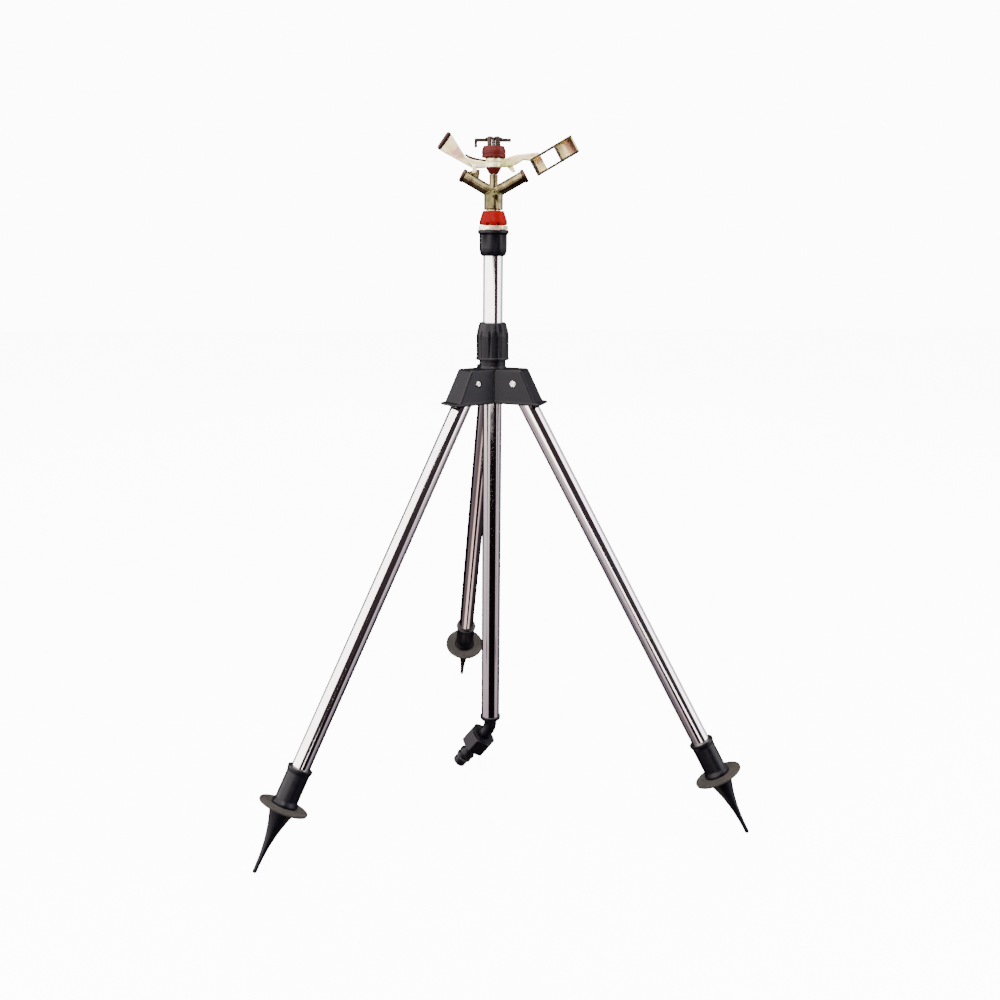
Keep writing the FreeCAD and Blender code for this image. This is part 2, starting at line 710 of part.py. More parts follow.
def barrel_place(side):
    """Placement at the barrels' crossing with Z out along one barrel; side is 1 or -1."""
    rise = math.radians(number("barrel_rise"))
    out = Vector(side * math.cos(rise), 0, math.sin(rise))
    return at(0, 0, number("barrel_height"), Rotation(UP, out))


def rotor():
    """Body with two raised barrels, the arm's post and the arm's stop."""
    foot = at(0, 0, number("rotor_bottom"))
    crossing = at(0, 0, number("barrel_height"))
    pieces = [
        cylinder("rotor_barrel", "rotor_radius", "rotor_top - rotor_bottom", foot),
        cylinder("rotor_post", "post_radius", "post_top - barrel_height", crossing)]
    boss = bound(doc.addObject("Part::Cone", "rotor_boss"), Radius1="post_radius + 2",
                 Radius2="post_radius - 1", Height="rotor_top - rotor_bottom")
    boss.Placement = at(0, -number("post_radius + boss_set_off"), number("rotor_bottom"))
    pieces.append(boss)
    ball = bound(doc.addObject("Part::Sphere", "rotor_ball"), Radius="barrel_radius + 1.2")
    ball.Placement = crossing
    pieces.append(ball)
    tools = [
        cylinder("rotor_socket", "bearing_radius", "6", foot),
        cylinder("rotor_bore", "bearing_bore", "barrel_height - rotor_bottom", foot),
        cylinder("shaft_hole", "shaft_radius", "post_top - shaft_bottom + 1",
                 at(0, 0, number("shaft_bottom")))]
    for name, side in (("front", 1), ("rear", -1)):
        pieces.append(cylinder(f"{name}_barrel", "barrel_radius", "barrel_length", barrel_place(side)))
        tools.append(cylinder(f"{name}_bore", "barrel_bore", "barrel_length + 1", barrel_place(side)))
    pieces.append(plate("arm_stop", OUTLINES["arm_stop"], "stop_thickness"))
    keep(cut("rotor", fused("rotor_blank", pieces), tools), "rotor_body", head_place)
    nozzle("front", 1, "front_orifice")
    nozzle("rear", -1, "rear_orifice")


def nozzle(name, side, orifice):
    """Rimmed nozzle screwed into a barrel's end."""
    body = turned(f"{name}_nozzle_turn", [
        ("barrel_bore - 1", "nozzle_seat"), ("barrel_bore", "nozzle_seat"),
        ("barrel_bore", "barrel_length"),
        ("nozzle_rim", "barrel_length"), ("nozzle_rim", "nozzle_end - 0.8"),
        ("nozzle_rim - 0.8", "nozzle_end"), (f"{orifice} + 1", "nozzle_end"),
        (orifice, "nozzle_end - 1"), (orifice, "barrel_length - 3")])
    keep(body, f"{name}_nozzle", head_place.multiply(barrel_place(side)))


def shaft():
    """Pivot shaft of the arm and the nut on its upper end."""
    keep(cylinder("pin", "shaft_radius", "shaft_top - shaft_bottom"), "pivot_shaft",
         head_place.multiply(at(0, 0, number("shaft_bottom"))))
    blank = hexagon("lock_nut_blank", "lock_nut_flats", "cap_top", "crown_bottom")
    hole = cylinder("lock_nut_hole", "shaft_radius", "10", at(0, 0, number("cap_top - 3")))
    keep(cut("lock_nut", blank, [hole]), "shaft_nut", head_place)


# ---------------------------------------------------------------- rocker arm

def frame_place(along, up):
    """Placement at a point of the drive frame, turned to the frame's slope."""
    slope = Rotation(Vector(0, 1, 0), -number("frame_slope"))
    corner = at(number("frame_x"), 0, number("frame_z"), slope)
    return corner.multiply(at(along, 0, up))


def rocker_arm():
    """Casting with the drive frame on one side and the counterweight paddle on the other."""
    depth = "2 * frame_half"
    groove = "arm_bottom + 3.6"
    pieces = [
        turned("arm_hub", [
            ("0", "arm_bottom"), ("arm_hub_radius", "arm_bottom"), ("arm_hub_radius", groove),
            ("arm_hub_radius - 0.9", groove + " + 0.5"), ("arm_hub_radius - 0.9", groove + " + 1.3"),
            ("arm_hub_radius", groove + " + 1.8"), ("arm_hub_radius", "arm_top"), ("0", "arm_top")]),
        plate("drive_rib", OUTLINES["drive_rib"], "2 * arm_half"),
        plate("drive_strut", OUTLINES["drive_strut"], "arm_half"),
        plate("paddle", OUTLINES["paddle"], "2 * paddle_half"),
        plate("paddle_root", OUTLINES["paddle_root"], "2 * arm_half"),
        plate("stop_finger", OUTLINES["stop_finger"], "stop_finger_width")]
    pieces[-1].Placement = at(0, -number("finger_set_off"), 0)
    lip_from, lip_to = (Vector(number(x), 0, number(z)) for x, z in PADDLE_LIP)
    lip = cylinder("paddle_lip_bar", "paddle_lip", str(round((lip_to - lip_from).Length, 1)))
    lip.Placement = Placement(lip_from, Rotation(UP, lip_to - lip_from))
    pieces.append(lip)
    top = number("frame_width - frame_skin")
    pieces.append(block("frame_floor", "frame_length", depth, "frame_skin", frame_place(0, 0)))
    pieces.append(block("frame_roof", "frame_length", depth, "frame_skin", frame_place(0, top)))
    pieces.append(block("frame_divider", "frame_skin", depth, "frame_width",
                        frame_place(number("window_end"), 0)))
    web = block("frame_web", "window_start", "web_thickness", "frame_width", frame_place(0, 0))
    web.Placement = at(0, number("frame_half - web_thickness / 2"), 0).multiply(web.Placement)
    pieces.append(web)
    bridge = block("frame_bridge", "bridge_length", "frame_half", "frame_width", frame_place(0, 0))
    bridge.Placement = at(0, number("frame_half") / 2, 0).multiply(bridge.Placement)
    pieces.append(bridge)
    bore = cylinder("arm_bore", "sleeve_radius", "20", at(0, 0, number("arm_bottom - 5")))
    keep(cut("arm", fused("arm_blank", pieces), [bore]), "rocker_arm", head_place)


def deflector_vane():
    """Curved plate across the end of the drive frame that turns the jet sideways."""
    radius = number("frame_half") * 2 - 1
    span = number("frame_width - 2 * frame_skin")
    thick = number("frame_skin")
    begin = number("window_end + frame_skin")
    bend_x = number("frame_length") - radius
    inner = Vector(begin, number("frame_half") - thick, 0)
    knee = Vector(bend_x, inner.y, 0)
    centre = knee - Vector(0, radius - thick, 0)
    wires = []
    for rad in (radius - thick, radius):
        middle = centre + Vector(rad * math.sin(math.pi / 4), rad * math.cos(math.pi / 4), 0)
        wires.append((centre + Vector(0, rad, 0), middle, centre + Vector(rad, 0, 0)))
    (a_in, m_in, z_in), (a_out, m_out, z_out) = wires
    edges = [
        Part.LineSegment(inner, a_in).toShape(),
        Part.Arc(a_in, m_in, z_in).toShape(),
        Part.LineSegment(z_in, z_out).toShape(),
        Part.Arc(z_out, m_out, a_out).toShape(),
        Part.LineSegment(a_out, inner + Vector(0, thick, 0)).toShape(),
        Part.LineSegment(inner + Vector(0, thick, 0), inner).toShape()]
    vane = doc.addObject("Part::Feature", "vane")
    vane.Shape = Part.Face(Part.Wire(edges)).extrude(Vector(0, 0, span))
    keep(vane, "deflector_vane", head_place.multiply(frame_place(0, thick)))


def arm_bush():
    """Bush pressed in the arm hub, with a cone that rides on the post."""
    keep(turned("bush_turn", [
        ("shaft_radius + running_gap", "bush_bottom"), ("post_radius", "bush_bottom"),
        ("bush_radius", "arm_bottom - 0.8"), ("bush_radius", "arm_bottom"),
        ("sleeve_radius", "arm_bottom"),
        ("sleeve_radius", "arm_top + 0.1"), ("shaft_radius + running_gap", "arm_top + 0.1")]),
        "arm_bush", head_place)


# ---------------------------------------------------------------- spring cap and crown

def spring_cap():
    """Cap over the arm's return spring."""
    keep(turned("cap_turn", [
        ("shaft_radius", "cap_bottom"), ("shaft_radius + 1.6", "cap_bottom"),
        ("shaft_radius + 1.6", "cap_top - cap_wall"),
        ("cap_radius - cap_wall", "cap_top - cap_wall - 1"),
        ("cap_radius - cap_wall", "cap_bottom"), ("cap_radius", "cap_bottom"),
        ("cap_radius", "cap_top - 4"), ("cap_radius - 1.4", "cap_top"), ("shaft_radius", "cap_top")]),
        "spring_cap", head_place)
    coil("arm_spring", "sleeve_radius + 3", 0.55, "cap_bottom + 1", "cap_top - 3", 5.5, head_place)


def tension_crown():
    """Fingered crown that is turned to set the spring."""
    pieces = [turned("crown_ring", washer_outline(
        "shaft_radius", "crown_radius", "crown_bottom", "crown_top"))]
    for index, azimuth in enumerate(PEAK_HEADINGS):
        turn = Placement(Vector(), Rotation(UP, azimuth))
        pieces.append(block(f"crown_leg_{index}", "peak_leg", "2 * finger_half", "crown_top - cap_top",
                            turn.multiply(at(number("crown_radius - 1.2"), 0, number("cap_top")))))
        pieces.append(block(f"crown_peak_{index}", "peak_length", "2 * finger_half", "peak_height",
                            turn.multiply(at(number("crown_radius - 3"), 0, number("crown_bottom")))))
    root = number("finger_root")
    for azimuth, reach in ((0, "straight_reach"), (180, "hooked_reach")):
        turn = Placement(Vector(), Rotation(UP, azimuth))
        pieces.append(block(f"crown_finger_{azimuth}", f"{reach} - finger_root", "2 * finger_half",
                            "finger_thickness",
                            turn.multiply(at(root, 0, number("crown_bottom - 1.4")))))
    hook = Placement(Vector(), Rotation(UP, 180))
    hook_start = at(number("hooked_reach - hook_thickness"), 0, number("crown_bottom - 1.4 - hook_drop"))
    pieces.append(block("crown_hook", "hook_thickness", "2 * finger_half", "hook_drop",
                        hook.multiply(hook_start)))
    keep(fused("crown", pieces), "tension_crown", head_place)


# ---------------------------------------------------------------- build and export

tripod_hub()
clamp_collet()
clamp_nut()
for side, azimuth in LEGS.items():
    pivot_fasteners(side, azimuth)
    leg(side, azimuth)
riser()
elbow()
hose_adapter()
top_cup()
inlet_base()
swivel_tube()
sand_collar()
rotor()
shaft()
rocker_arm()
deflector_vane()
arm_bush()
spring_cap()
tension_crown()
doc.recompute()

for item in doc.Objects:
    if "Invalid" in item.State or "Error" in item.State:
        raise RuntimeError(f"{item.Name} failed to build: {item.State}")
for node in nodes:
    if node.Shape.isNull() or not node.Shape.isValid():
        raise RuntimeError(f"{node.Label} has no valid shape")

os.makedirs("parts", exist_ok=True)
for node in nodes:
    node.Shape.exportStep(f"parts/{node.Label}.step")
    box = node.Shape.BoundBox
    print(f"{node.Label:22s} solids {len(node.Shape.Solids)} volume {node.Shape.Volume:10.1f} "
          f"z {box.ZMin:7.1f} {box.ZMax:7.1f} x {box.XMin:7.1f} {box.XMax:7.1f}")
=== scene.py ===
"""Looks of a tripod impact sprinkler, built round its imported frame: metres, Z up, spike tips at Z = 0."""
import json
import logging
import math
from dataclasses import dataclass, field
from enum import Enum
from typing import Any, Iterable, Sequence

import bmesh
import bpy
import numpy as np
from mathutils import Matrix, Vector


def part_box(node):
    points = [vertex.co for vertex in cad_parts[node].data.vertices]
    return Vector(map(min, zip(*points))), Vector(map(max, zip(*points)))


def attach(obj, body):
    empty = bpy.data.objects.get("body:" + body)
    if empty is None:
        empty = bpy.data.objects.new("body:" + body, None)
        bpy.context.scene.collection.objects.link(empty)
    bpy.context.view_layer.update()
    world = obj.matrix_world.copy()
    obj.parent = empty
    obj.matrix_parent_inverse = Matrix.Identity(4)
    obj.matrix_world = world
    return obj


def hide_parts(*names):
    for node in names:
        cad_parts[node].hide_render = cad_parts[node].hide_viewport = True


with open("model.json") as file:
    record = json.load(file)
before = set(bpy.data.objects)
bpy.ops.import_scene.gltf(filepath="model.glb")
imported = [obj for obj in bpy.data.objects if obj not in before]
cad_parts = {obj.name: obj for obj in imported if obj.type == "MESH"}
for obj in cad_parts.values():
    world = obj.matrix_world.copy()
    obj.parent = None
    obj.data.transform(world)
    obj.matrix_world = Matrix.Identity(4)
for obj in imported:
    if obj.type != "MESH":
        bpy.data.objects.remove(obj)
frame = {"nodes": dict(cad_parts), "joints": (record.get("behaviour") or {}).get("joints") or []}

Array = np.ndarray
LOG = logging.getLogger("sprinkler")
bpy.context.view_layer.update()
MM = 0.001
TURN = 2 * math.pi


class Slot(Enum):
    """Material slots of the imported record."""

    BLACK = "black_plastic"
    GREY = "grey_plastic"
    STEEL = "polished_steel"
    FASTENER = "bright_fastener"
    RUBBER = "black_rubber"
    WHITE = "white_plastic"
    RED = "red_plastic"
    DARK_RED = "dark_red_plastic"
    SPRING = "spring_steel"
    DARK_STEEL = "dark_steel"
    BRASS = "brass"
    NOZZLE = "dark_plated"
    ZINC = "plated_zinc"


# ---------------------------------------------------------------- places in space

@dataclass(frozen=True)
class Place:
    """An origin and three unit axes, the rows of a matrix."""

    origin: Array
    axes: Array

    def out(self, points: Array) -> Array:
        """Local points, of shape (..., 3), carried into the frame's space."""
        return self.origin + points @ self.axes

    def shifted(self, offset: Sequence[float]) -> "Place":
        """The same axes about a point given in local terms."""
        return Place(self.out(np.array(offset, float)), self.axes)


def unit(vector: Sequence[float]) -> Array:
    """A vector's direction."""
    vector = np.array(vector, float)
    return vector / np.linalg.norm(vector)


def place_along(origin: Sequence[float], up: Sequence[float], across: Sequence[float] = (1, 0, 0)) -> Place:
    """A place whose Z axis is a direction.

    Args:
        origin: Where the place stands.
        up: The direction of its Z axis.
        across: A direction near its X axis, not along up.

    Returns:
        The place, with X squared to Z and Y the cross of the two.
    """
    z = unit(up)
    x = unit(np.array(across, float) - z * np.dot(z, across))
    return Place(np.array(origin, float), np.stack([x, np.cross(z, x), z]))


def box(node: str) -> tuple[Array, Array]:
    """Lowest and highest corner of a CAD node."""
    low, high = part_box(node)
    return np.array(low), np.array(high)


def on_axis(height: float) -> Place:
    """Upright place on the riser's axis."""
    return place_along((0, 0, height), (0, 0, 1))


def head_place() -> Place:
    """Upright place at the riser's foot, with X towards the front barrel as the head is turned."""
    low, high = box("front_nozzle")
    middle = (low + high) / 2
    return place_along((0, 0, 0), (0, 0, 1), (middle[0], middle[1], 0))


# ---------------------------------------------------------------- outlines

def rounded(corners: Sequence[Sequence[float]], radius: float | Sequence[float], steps: int = 5,
            closed: bool = True) -> Array:
    """Outline with each corner eased into a short curve.

    At each corner P the outline is cut back by the radius towards both neighbours, to A and B,
    and runs between them on the parabola (1-t)^2 A + 2t(1-t) P + t^2 B.  A support point just
    before A and just after B keeps the flats flat when they are shaded.

    Args:
        corners: Points of the outline, (x, y).
        radius: Cut at each corner, one for all or one each.
        steps: Points on each curve.
        closed: Whether the last corner joins the first; otherwise both ends stay sharp.

    Returns:
        Points of the eased outline, of shape (n, 2).
    """
    points = np.array(corners, float)
    back = np.roll(points, 1, axis=0) - points
    ahead = np.roll(points, -1, axis=0) - points
    long_back = np.linalg.norm(back, axis=1)
    long_ahead = np.linalg.norm(ahead, axis=1)
    cut = np.minimum(np.broadcast_to(np.array(radius, float), long_back.shape),
                     0.42 * np.minimum(long_back, long_ahead))
    start = points + back * (cut / long_back)[:, None]
    end = points + ahead * (cut / long_ahead)[:, None]
    t = np.linspace(0, 1, steps)[None, :, None]
    curve = (1 - t) ** 2 * start[:, None] + 2 * t * (1 - t) * points[:, None] + t ** 2 * end[:, None]
    before = points + back * (1.15 * cut / long_back)[:, None]
    after = points + ahead * (1.15 * cut / long_ahead)[:, None]
    eased = np.concatenate([before[:, None], curve, after[:, None]], axis=1)
    if closed:
        return eased.reshape(-1, 2)
    return np.concatenate([points[:1], eased[1:-1].reshape(-1, 2), points[-1:]])


def inset(outline: Array, amount: Array) -> Array:
    """A closed outline drawn in by several amounts.

    Each point moves along the mean of its two edges' inward normals, lengthened so that the
    edges themselves move by the amount.

    Args:
        outline: Points of shape (n, 2), anticlockwise.
        amount: Amounts of shape (m,).

    Returns:
        Points of shape (m, n, 2).
    """
    edge = np.roll(outline, -1, axis=0) - outline
    edge /= np.maximum(np.linalg.norm(edge, axis=1, keepdims=True), 1e-12)
    normal = np.stack([-edge[:, 1], edge[:, 0]], axis=1)
    mean = normal + np.roll(normal, 1, axis=0)
    mean /= np.maximum(np.sum(mean * normal, axis=1, keepdims=True), 0.2)
    return outline[None] + mean[None] * np.array(amount)[:, None, None]


def anticlockwise(outline: Array) -> Array:
    """A closed outline, turned round where twice its area, the sum of x y' - x' y, is negative.

    Args:
        outline: Points of shape (n, 2).

    Returns:
        The same points, anticlockwise.
    """
    x, y = outline.T
    area = np.sum(x * np.roll(y, -1) - np.roll(x, -1) * y)
    return outline if area > 0 else outline[::-1]


# ---------------------------------------------------------------- meshes

class Surface:
    """Grids gathered into one mesh, with a UV map of each grid's own two parameters."""

    def __init__(self) -> None:
        """Start with nothing."""
        self.points: list[Array] = []
        self.faces: list[list[int]] = []
        self.corners: list[Array] = []
        self.count = 0

    def grid(self, points: Array, wrap: tuple[bool, bool] = (False, False),
             caps: bool = False) -> "Surface":
        """Add a grid of points as quads.

        Args:
            points: Array of shape (rows, columns, 3).
            wrap: Whether the last row joins the first, and the last column the first.
            caps: Whether the first and last rows are closed with one flat face each.

        Returns:
            This surface.
        """
        rows, columns = points.shape[:2]
        across, along = np.meshgrid(np.arange(rows - (not wrap[0])), np.arange(columns - (not wrap[1])),
                                    indexing="ij")
        steps = ((0, 0), (1, 0), (1, 1), (0, 1))
        quads = np.stack([((across + i) % rows) * columns + (along + j) % columns for i, j in steps], -1)
        uv = np.stack([np.stack([(across + i) / rows, (along + j) / columns], -1) for i, j in steps], -2)
        self.faces += (quads.reshape(-1, 4) + self.count).tolist()
        self.corners.append(uv.reshape(-1, 2))
        if caps:
            ring = np.arange(columns)
            for face in (ring + self.count, ring[::-1] + self.count + (rows - 1) * columns):
                self.faces.append(face.tolist())
                self.corners.append(np.zeros((columns, 2)))
        self.points.append(points.reshape(-1, 3))
        self.count += rows * columns
        return self

    def turned(self, outline: Array, place: Place, segments: int = 96, closed: bool = True) -> "Surface":
        """Add a surface of revolution: (r, z) of the outline becomes (r cos a, r sin a, z).

        Args:
            outline: Points (radius, height) of shape (n, 2).
            place: Where the axis stands.
            segments: Steps round the axis.
            closed: Whether the outline's last point joins its first.

        Returns:
            This surface.
        """
        angle = np.linspace(0, TURN, segments, endpoint=False)[:, None]
        radius, height = outline.T
        local = np.stack([radius * np.cos(angle), radius * np.sin(angle),
                          np.broadcast_to(height, (segments, len(height)))], -1)
        return self.grid(place.out(local), (True, closed))

    def prism(self, outline: Array, low: float, high: float, place: Place, ease: float) -> "Surface":
        """Add a plate: an outline in the place's X and Y, raised along its Z, with eased edges.

        The edge is a quarter circle: at angle a the outline is drawn in by ease (1 - sin a) and
        stands ease (1 - cos a) in from the plate's face.

        Args:
            outline: Closed outline of shape (n, 2).
            low: Height of the lower face.
            high: Height of the upper face.
            place: Where the plate lies.
            ease: Radius of the edges.

        Returns:
            This surface.
        """
        outline = anticlockwise(outline)
        angle = np.linspace(0, math.pi / 2, 4)
        drawn = ease * (1 - np.sin(angle))
        rise = ease * (1 - np.cos(angle))
        amounts = np.concatenate([drawn, drawn[::-1]])
        levels = np.concatenate([low + rise, high - rise[::-1]])
        rings = inset(outline, amounts)
        heights = np.broadcast_to(levels[:, None, None], rings.shape[:2] + (1,))
        return self.grid(place.out(np.concatenate([rings, heights], -1)), (False, True), caps=True)

    def tube(self, path: Array, radius: Array | float, reference: Sequence[float],
             segments: int = 24, caps: bool = True, closed: bool = False) -> "Surface":
        """Add a round tube: at each point of the path, a ring square to the path's direction.

        Args:
            path: Points of shape (n, 3).
            radius: Radius, one for all or one at each point.
            reference: Direction that the path never follows, from which the rings are turned.
            segments: Points on each ring.
            caps: Whether the ends are closed.
            closed: Whether the path's last point joins its first.

        Returns:
            This surface.
        """
        ahead = np.roll(path, -1, 0) - np.roll(path, 1, 0) if closed else np.gradient(path, axis=0)
        ahead /= np.linalg.norm(ahead, axis=1, keepdims=True)
        side = np.cross(ahead, np.array(reference, float))
        side /= np.linalg.norm(side, axis=1, keepdims=True)
        third = np.cross(ahead, side)
        angle = np.linspace(0, TURN, segments, endpoint=False)[None, :, None]
        radii = np.broadcast_to(np.array(radius, float), (len(path),))[:, None, None]
        rings = path[:, None] + radii * (np.cos(angle) * side[:, None] + np.sin(angle) * third[:, None])
        return self.grid(rings, (closed, True), caps=caps and not closed)

    def strip(self, path: Array, width: float, thickness: float, reference: Sequence[float]) -> "Surface":
        """Add a flat bar: a rounded rectangle carried along a path, its width along a reference.

        Args:
            path: Points of shape (n, 3).
            width: Size along the reference direction.
            thickness: Size square to the path and to the reference.
            reference: Direction of the width, square to the whole path.

        Returns:
            This surface.
        """
        half = np.array([[-1, -1], [1, -1], [1, 1], [-1, 1]]) * np.array([width, thickness]) / 2
        section = rounded(half, 0.35 * min(width, thickness), 4)
        ahead = np.gradient(path, axis=0)
        ahead /= np.linalg.norm(ahead, axis=1, keepdims=True)
        across = np.array(reference, float)
        normal = np.cross(ahead, across)
        rings = (path[:, None] + section[None, :, :1] * across + section[None, :, 1:] * normal[:, None])
        return self.grid(rings, (False, True), caps=True)

    def mesh(self, name: str) -> bpy.types.Mesh:
        """Write the gathered grids to a mesh, close its poles and turn its faces outwards.

        Args:
            name: The mesh's name.

        Returns:
            The mesh.
        """
        data = bpy.data.meshes.new(name)
        data.from_pydata(np.concatenate(self.points).tolist(), [], self.faces)
        layer = data.uv_layers.new(name="UVMap")
        layer.data.foreach_set("uv", np.concatenate(self.corners).astype(np.float32).ravel())
        work = bmesh.new()
        work.from_mesh(data)
        bmesh.ops.remove_doubles(work, verts=work.verts, dist=2e-7)
        bmesh.ops.dissolve_degenerate(work, edges=work.edges, dist=1e-7)
        bmesh.ops.recalc_face_normals(work, faces=work.faces)
        work.to_mesh(data)
        work.free()
        return data


def applied(piece: bpy.types.Object) -> None:
    """Put the result of a piece's modifiers into its mesh and drop the modifiers.

    Args:
        piece: The piece.
    """
    graph = bpy.context.evaluated_depsgraph_get()
    data = bpy.data.meshes.new_from_object(piece.evaluated_get(graph), depsgraph=graph)
    piece.modifiers.clear()
    piece.data = data


def add_object(name: str, data: bpy.types.Mesh) -> bpy.types.Object:
    """Make a new object at the origin.

    Args:
        name: The object's name.
        data: The mesh that it holds.

    Returns:
        The object.
    """
    piece = bpy.data.objects.new(name, data)
    bpy.context.scene.collection.objects.link(piece)
    return piece


def carve(piece: bpy.types.Object, cutter: Surface) -> None:
    """Cut the closed grids of a surface out of a piece.

    Args:
        piece: The piece.
        cutter: The grids, each one closed.
    """
    tool = add_object(piece.name + "_cutter", cutter.mesh(piece.name + "_cutter"))
    cut = piece.modifiers.new("carve", "BOOLEAN")
    cut.object = tool
    cut.operation = "DIFFERENCE"
    cut.solver = "EXACT"
    cut.use_self = True
    applied(piece)
    bpy.data.objects.remove(tool)


def cast_together(piece: bpy.types.Object, voxel: float, smooth: int) -> None:
    """Grow overlapping shells into one cast skin with soft inner corners.

    Args:
        piece: The piece whose shells are joined.
        voxel: Grain of the new skin.
        smooth: How many times the skin is relaxed.
    """
    remesh = piece.modifiers.new("skin", "REMESH")
    remesh.mode = "VOXEL"
    remesh.voxel_size = voxel
    relax = piece.modifiers.new("relax", "SMOOTH")
    relax.factor = 0.5
    relax.iterations = smooth
    applied(piece)


def finished(piece: bpy.types.Object, finish: "Finish", body: str,
             stands_for: Iterable[str] = (), sharp: float = 32.0) -> bpy.types.Object:
    """Shade a piece, dress it and hand it to its body.

    Args:
        piece: The object.
        finish: Its finish.
        body: The CAD body that it rides on.
        stands_for: CAD nodes that it replaces.
        sharp: Edges that turn by more degrees than this stay crisp.

    Returns:
        The object.
    """
    data = piece.data
    data.materials.clear()
    data.materials.append(finish.material())
    data.polygons.foreach_set("use_smooth", np.ones(len(data.polygons), dtype=bool))
    data.polygons.foreach_set("material_index", np.zeros(len(data.polygons), dtype=np.int32))
    data.set_sharp_from_angle(angle=math.radians(sharp))
    data.update()
    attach(piece, body)
    for node in stands_for:
        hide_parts(node)
    LOG.info("%s: %d faces on %s", piece.name, len(data.polygons), body)
    return piece


def dress_node(node: str, finish: "Finish") -> None:
    """Give a carried-over CAD node a finish.

    Args:
        node: The node's name.
        finish: Its finish.
    """
    piece = frame["nodes"][node]
    if not piece.data.materials:
        piece.data.materials.append(None)
    for slot in piece.material_slots:
        slot.link = "OBJECT"
        slot.material = finish.material()
    LOG.info("%s: carried over", node)


# ---------------------------------------------------------------- shader maths

class Tree:
    """The nodes of a material or of the world, with one method that makes any node."""

    def __init__(self, owner: bpy.types.Material | bpy.types.World) -> None:
        """Start on the nodes that something new is given, one shader and its output.

        Args:
            owner: The new material or world.
        """
        owner.use_nodes = True
        self.owner = owner
        self.nodes = owner.node_tree.nodes
        self.links = owner.node_tree.links

    def node(self, kind: str, settings: dict[str, Any] | None = None, output: str | int = 0,
             **values: Any) -> "Value":
        """Make a node.

        Args:
            kind: Its type, without the ShaderNode prefix.
            settings: Properties set first; stops is a ramp's list of (place, colour).
            output: Which output is wanted.
            **values: Socket values or links, by name with spaces as underscores, or in0, in1.

        Returns:
            The wanted output, wrapped.
        """
        made = self.nodes.new("ShaderNode" + kind)
        for key, setting in (settings or {}).items():
            if key == "stops":
                self._stops(made.color_ramp, setting)
            else:
                setattr(made, key, setting)
        for key, value in values.items():
            name = key.replace("_", " ")
            socket = made.inputs[int(key[2:])] if key[:2] == "in" and key[2:].isdigit() else made.inputs[name]
            self.feed(socket, value)
        return Value(self, made.outputs[output])

    def feed(self, socket: bpy.types.NodeSocket, value: Any) -> None:
        """Link a wrapped output to a socket, or set the socket's own value.

        Args:
            socket: An input.
            value: A Value, or what the socket's own value is set to.
        """
        if isinstance(value, Value):
            self.links.new(value.socket, socket)
        elif isinstance(value, tuple) and socket.type == "RGBA" and len(value) == 3:
            socket.default_value = (*value, 1.0)
        else:
            socket.default_value = value

    def surface(self, **values: Any) -> None:
        """Feed the principled shader's sockets, named with spaces as underscores."""
        for key, value in values.items():
            self.feed(self.nodes["Principled BSDF"].inputs[key.replace("_", " ")], value)

    @staticmethod
    def _stops(ramp: bpy.types.ColorRamp, stops: Sequence[tuple[float, tuple[float, ...]]]) -> None:
        """Give a ramp its stops.

        Args:
            ramp: The ramp, which starts with two stops.
            stops: Places from 0 to 1 with their colours, in order.
        """
        while len(ramp.elements) < len(stops):
            ramp.elements.new(0.5)
        for element, (position, colour) in zip(ramp.elements, stops):
            element.position = position
            element.color = (*colour, 1.0)


@dataclass(frozen=True)
class Value:
    """A node's output that can be used in sums."""

    tree: Tree
    socket: bpy.types.NodeSocket

    def _math(self, operation: str, first: Any, second: Any) -> "Value":
        """One Math node."""
        return self.tree.node("Math", {"operation": operation}, in0=first, in1=second)

    def __add__(self, other: "Value | float") -> "Value":
        """Sum."""
        return self._math("ADD", self, other)

    __radd__ = __add__

    def __mul__(self, other: "Value | float") -> "Value":
        """Product."""
        return self._math("MULTIPLY", self, other)

    __rmul__ = __mul__

    def __sub__(self, other: "Value | float") -> "Value":
        """Difference."""
        return self._math("SUBTRACT", self, other)

    def __rsub__(self, other: float) -> "Value":
        """Difference from a number."""
        return self._math("SUBTRACT", other, self)

    def between(self, low: float, high: float) -> "Value":
        """This value, as a part of the way from low to high, held within 0 and 1."""
        return self.tree.node("MapRange", {"clamp": True}, Value=self, From_Min=low, From_Max=high)


def noise(tree: Tree, where: Value, scale: float, detail: float = 3.0, rough: float = 0.55) -> Value:
    """Fractal noise at a place, from 0 to 1."""
    return tree.node("TexNoise", {"normalize": True}, Vector=where, Scale=scale, Detail=detail,
                     Roughness=rough)


def blend(tree: Tree, part: Value, first: Any, second: Any) -> Value:
    """Colour between two colours."""
    return tree.node("Mix", {"data_type": "RGBA"}, output=2, in0=part, in6=first, in7=second)


def bump(tree: Tree, height: Value, depth: float, strength: float = 1.0) -> Value:
    """Normal of a surface raised by a height, in metres at height 1."""
    return tree.node("Bump", None, Height=height, Distance=depth, Strength=strength)


# ---------------------------------------------------------------- finishes

class Finish:
    """A finish that makes its material once."""

    name: str = "finish"

    def material(self) -> bpy.types.Material:
        """The material, made at the first call."""
        found = bpy.data.materials.get(self.name)
        return found or self.make()

    def make(self) -> bpy.types.Material:
        """Build the material's nodes."""
        raise NotImplementedError

    def tree(self) -> Tree:
        """Nodes of a new material of this finish's name."""
        return Tree(bpy.data.materials.new(self.name))


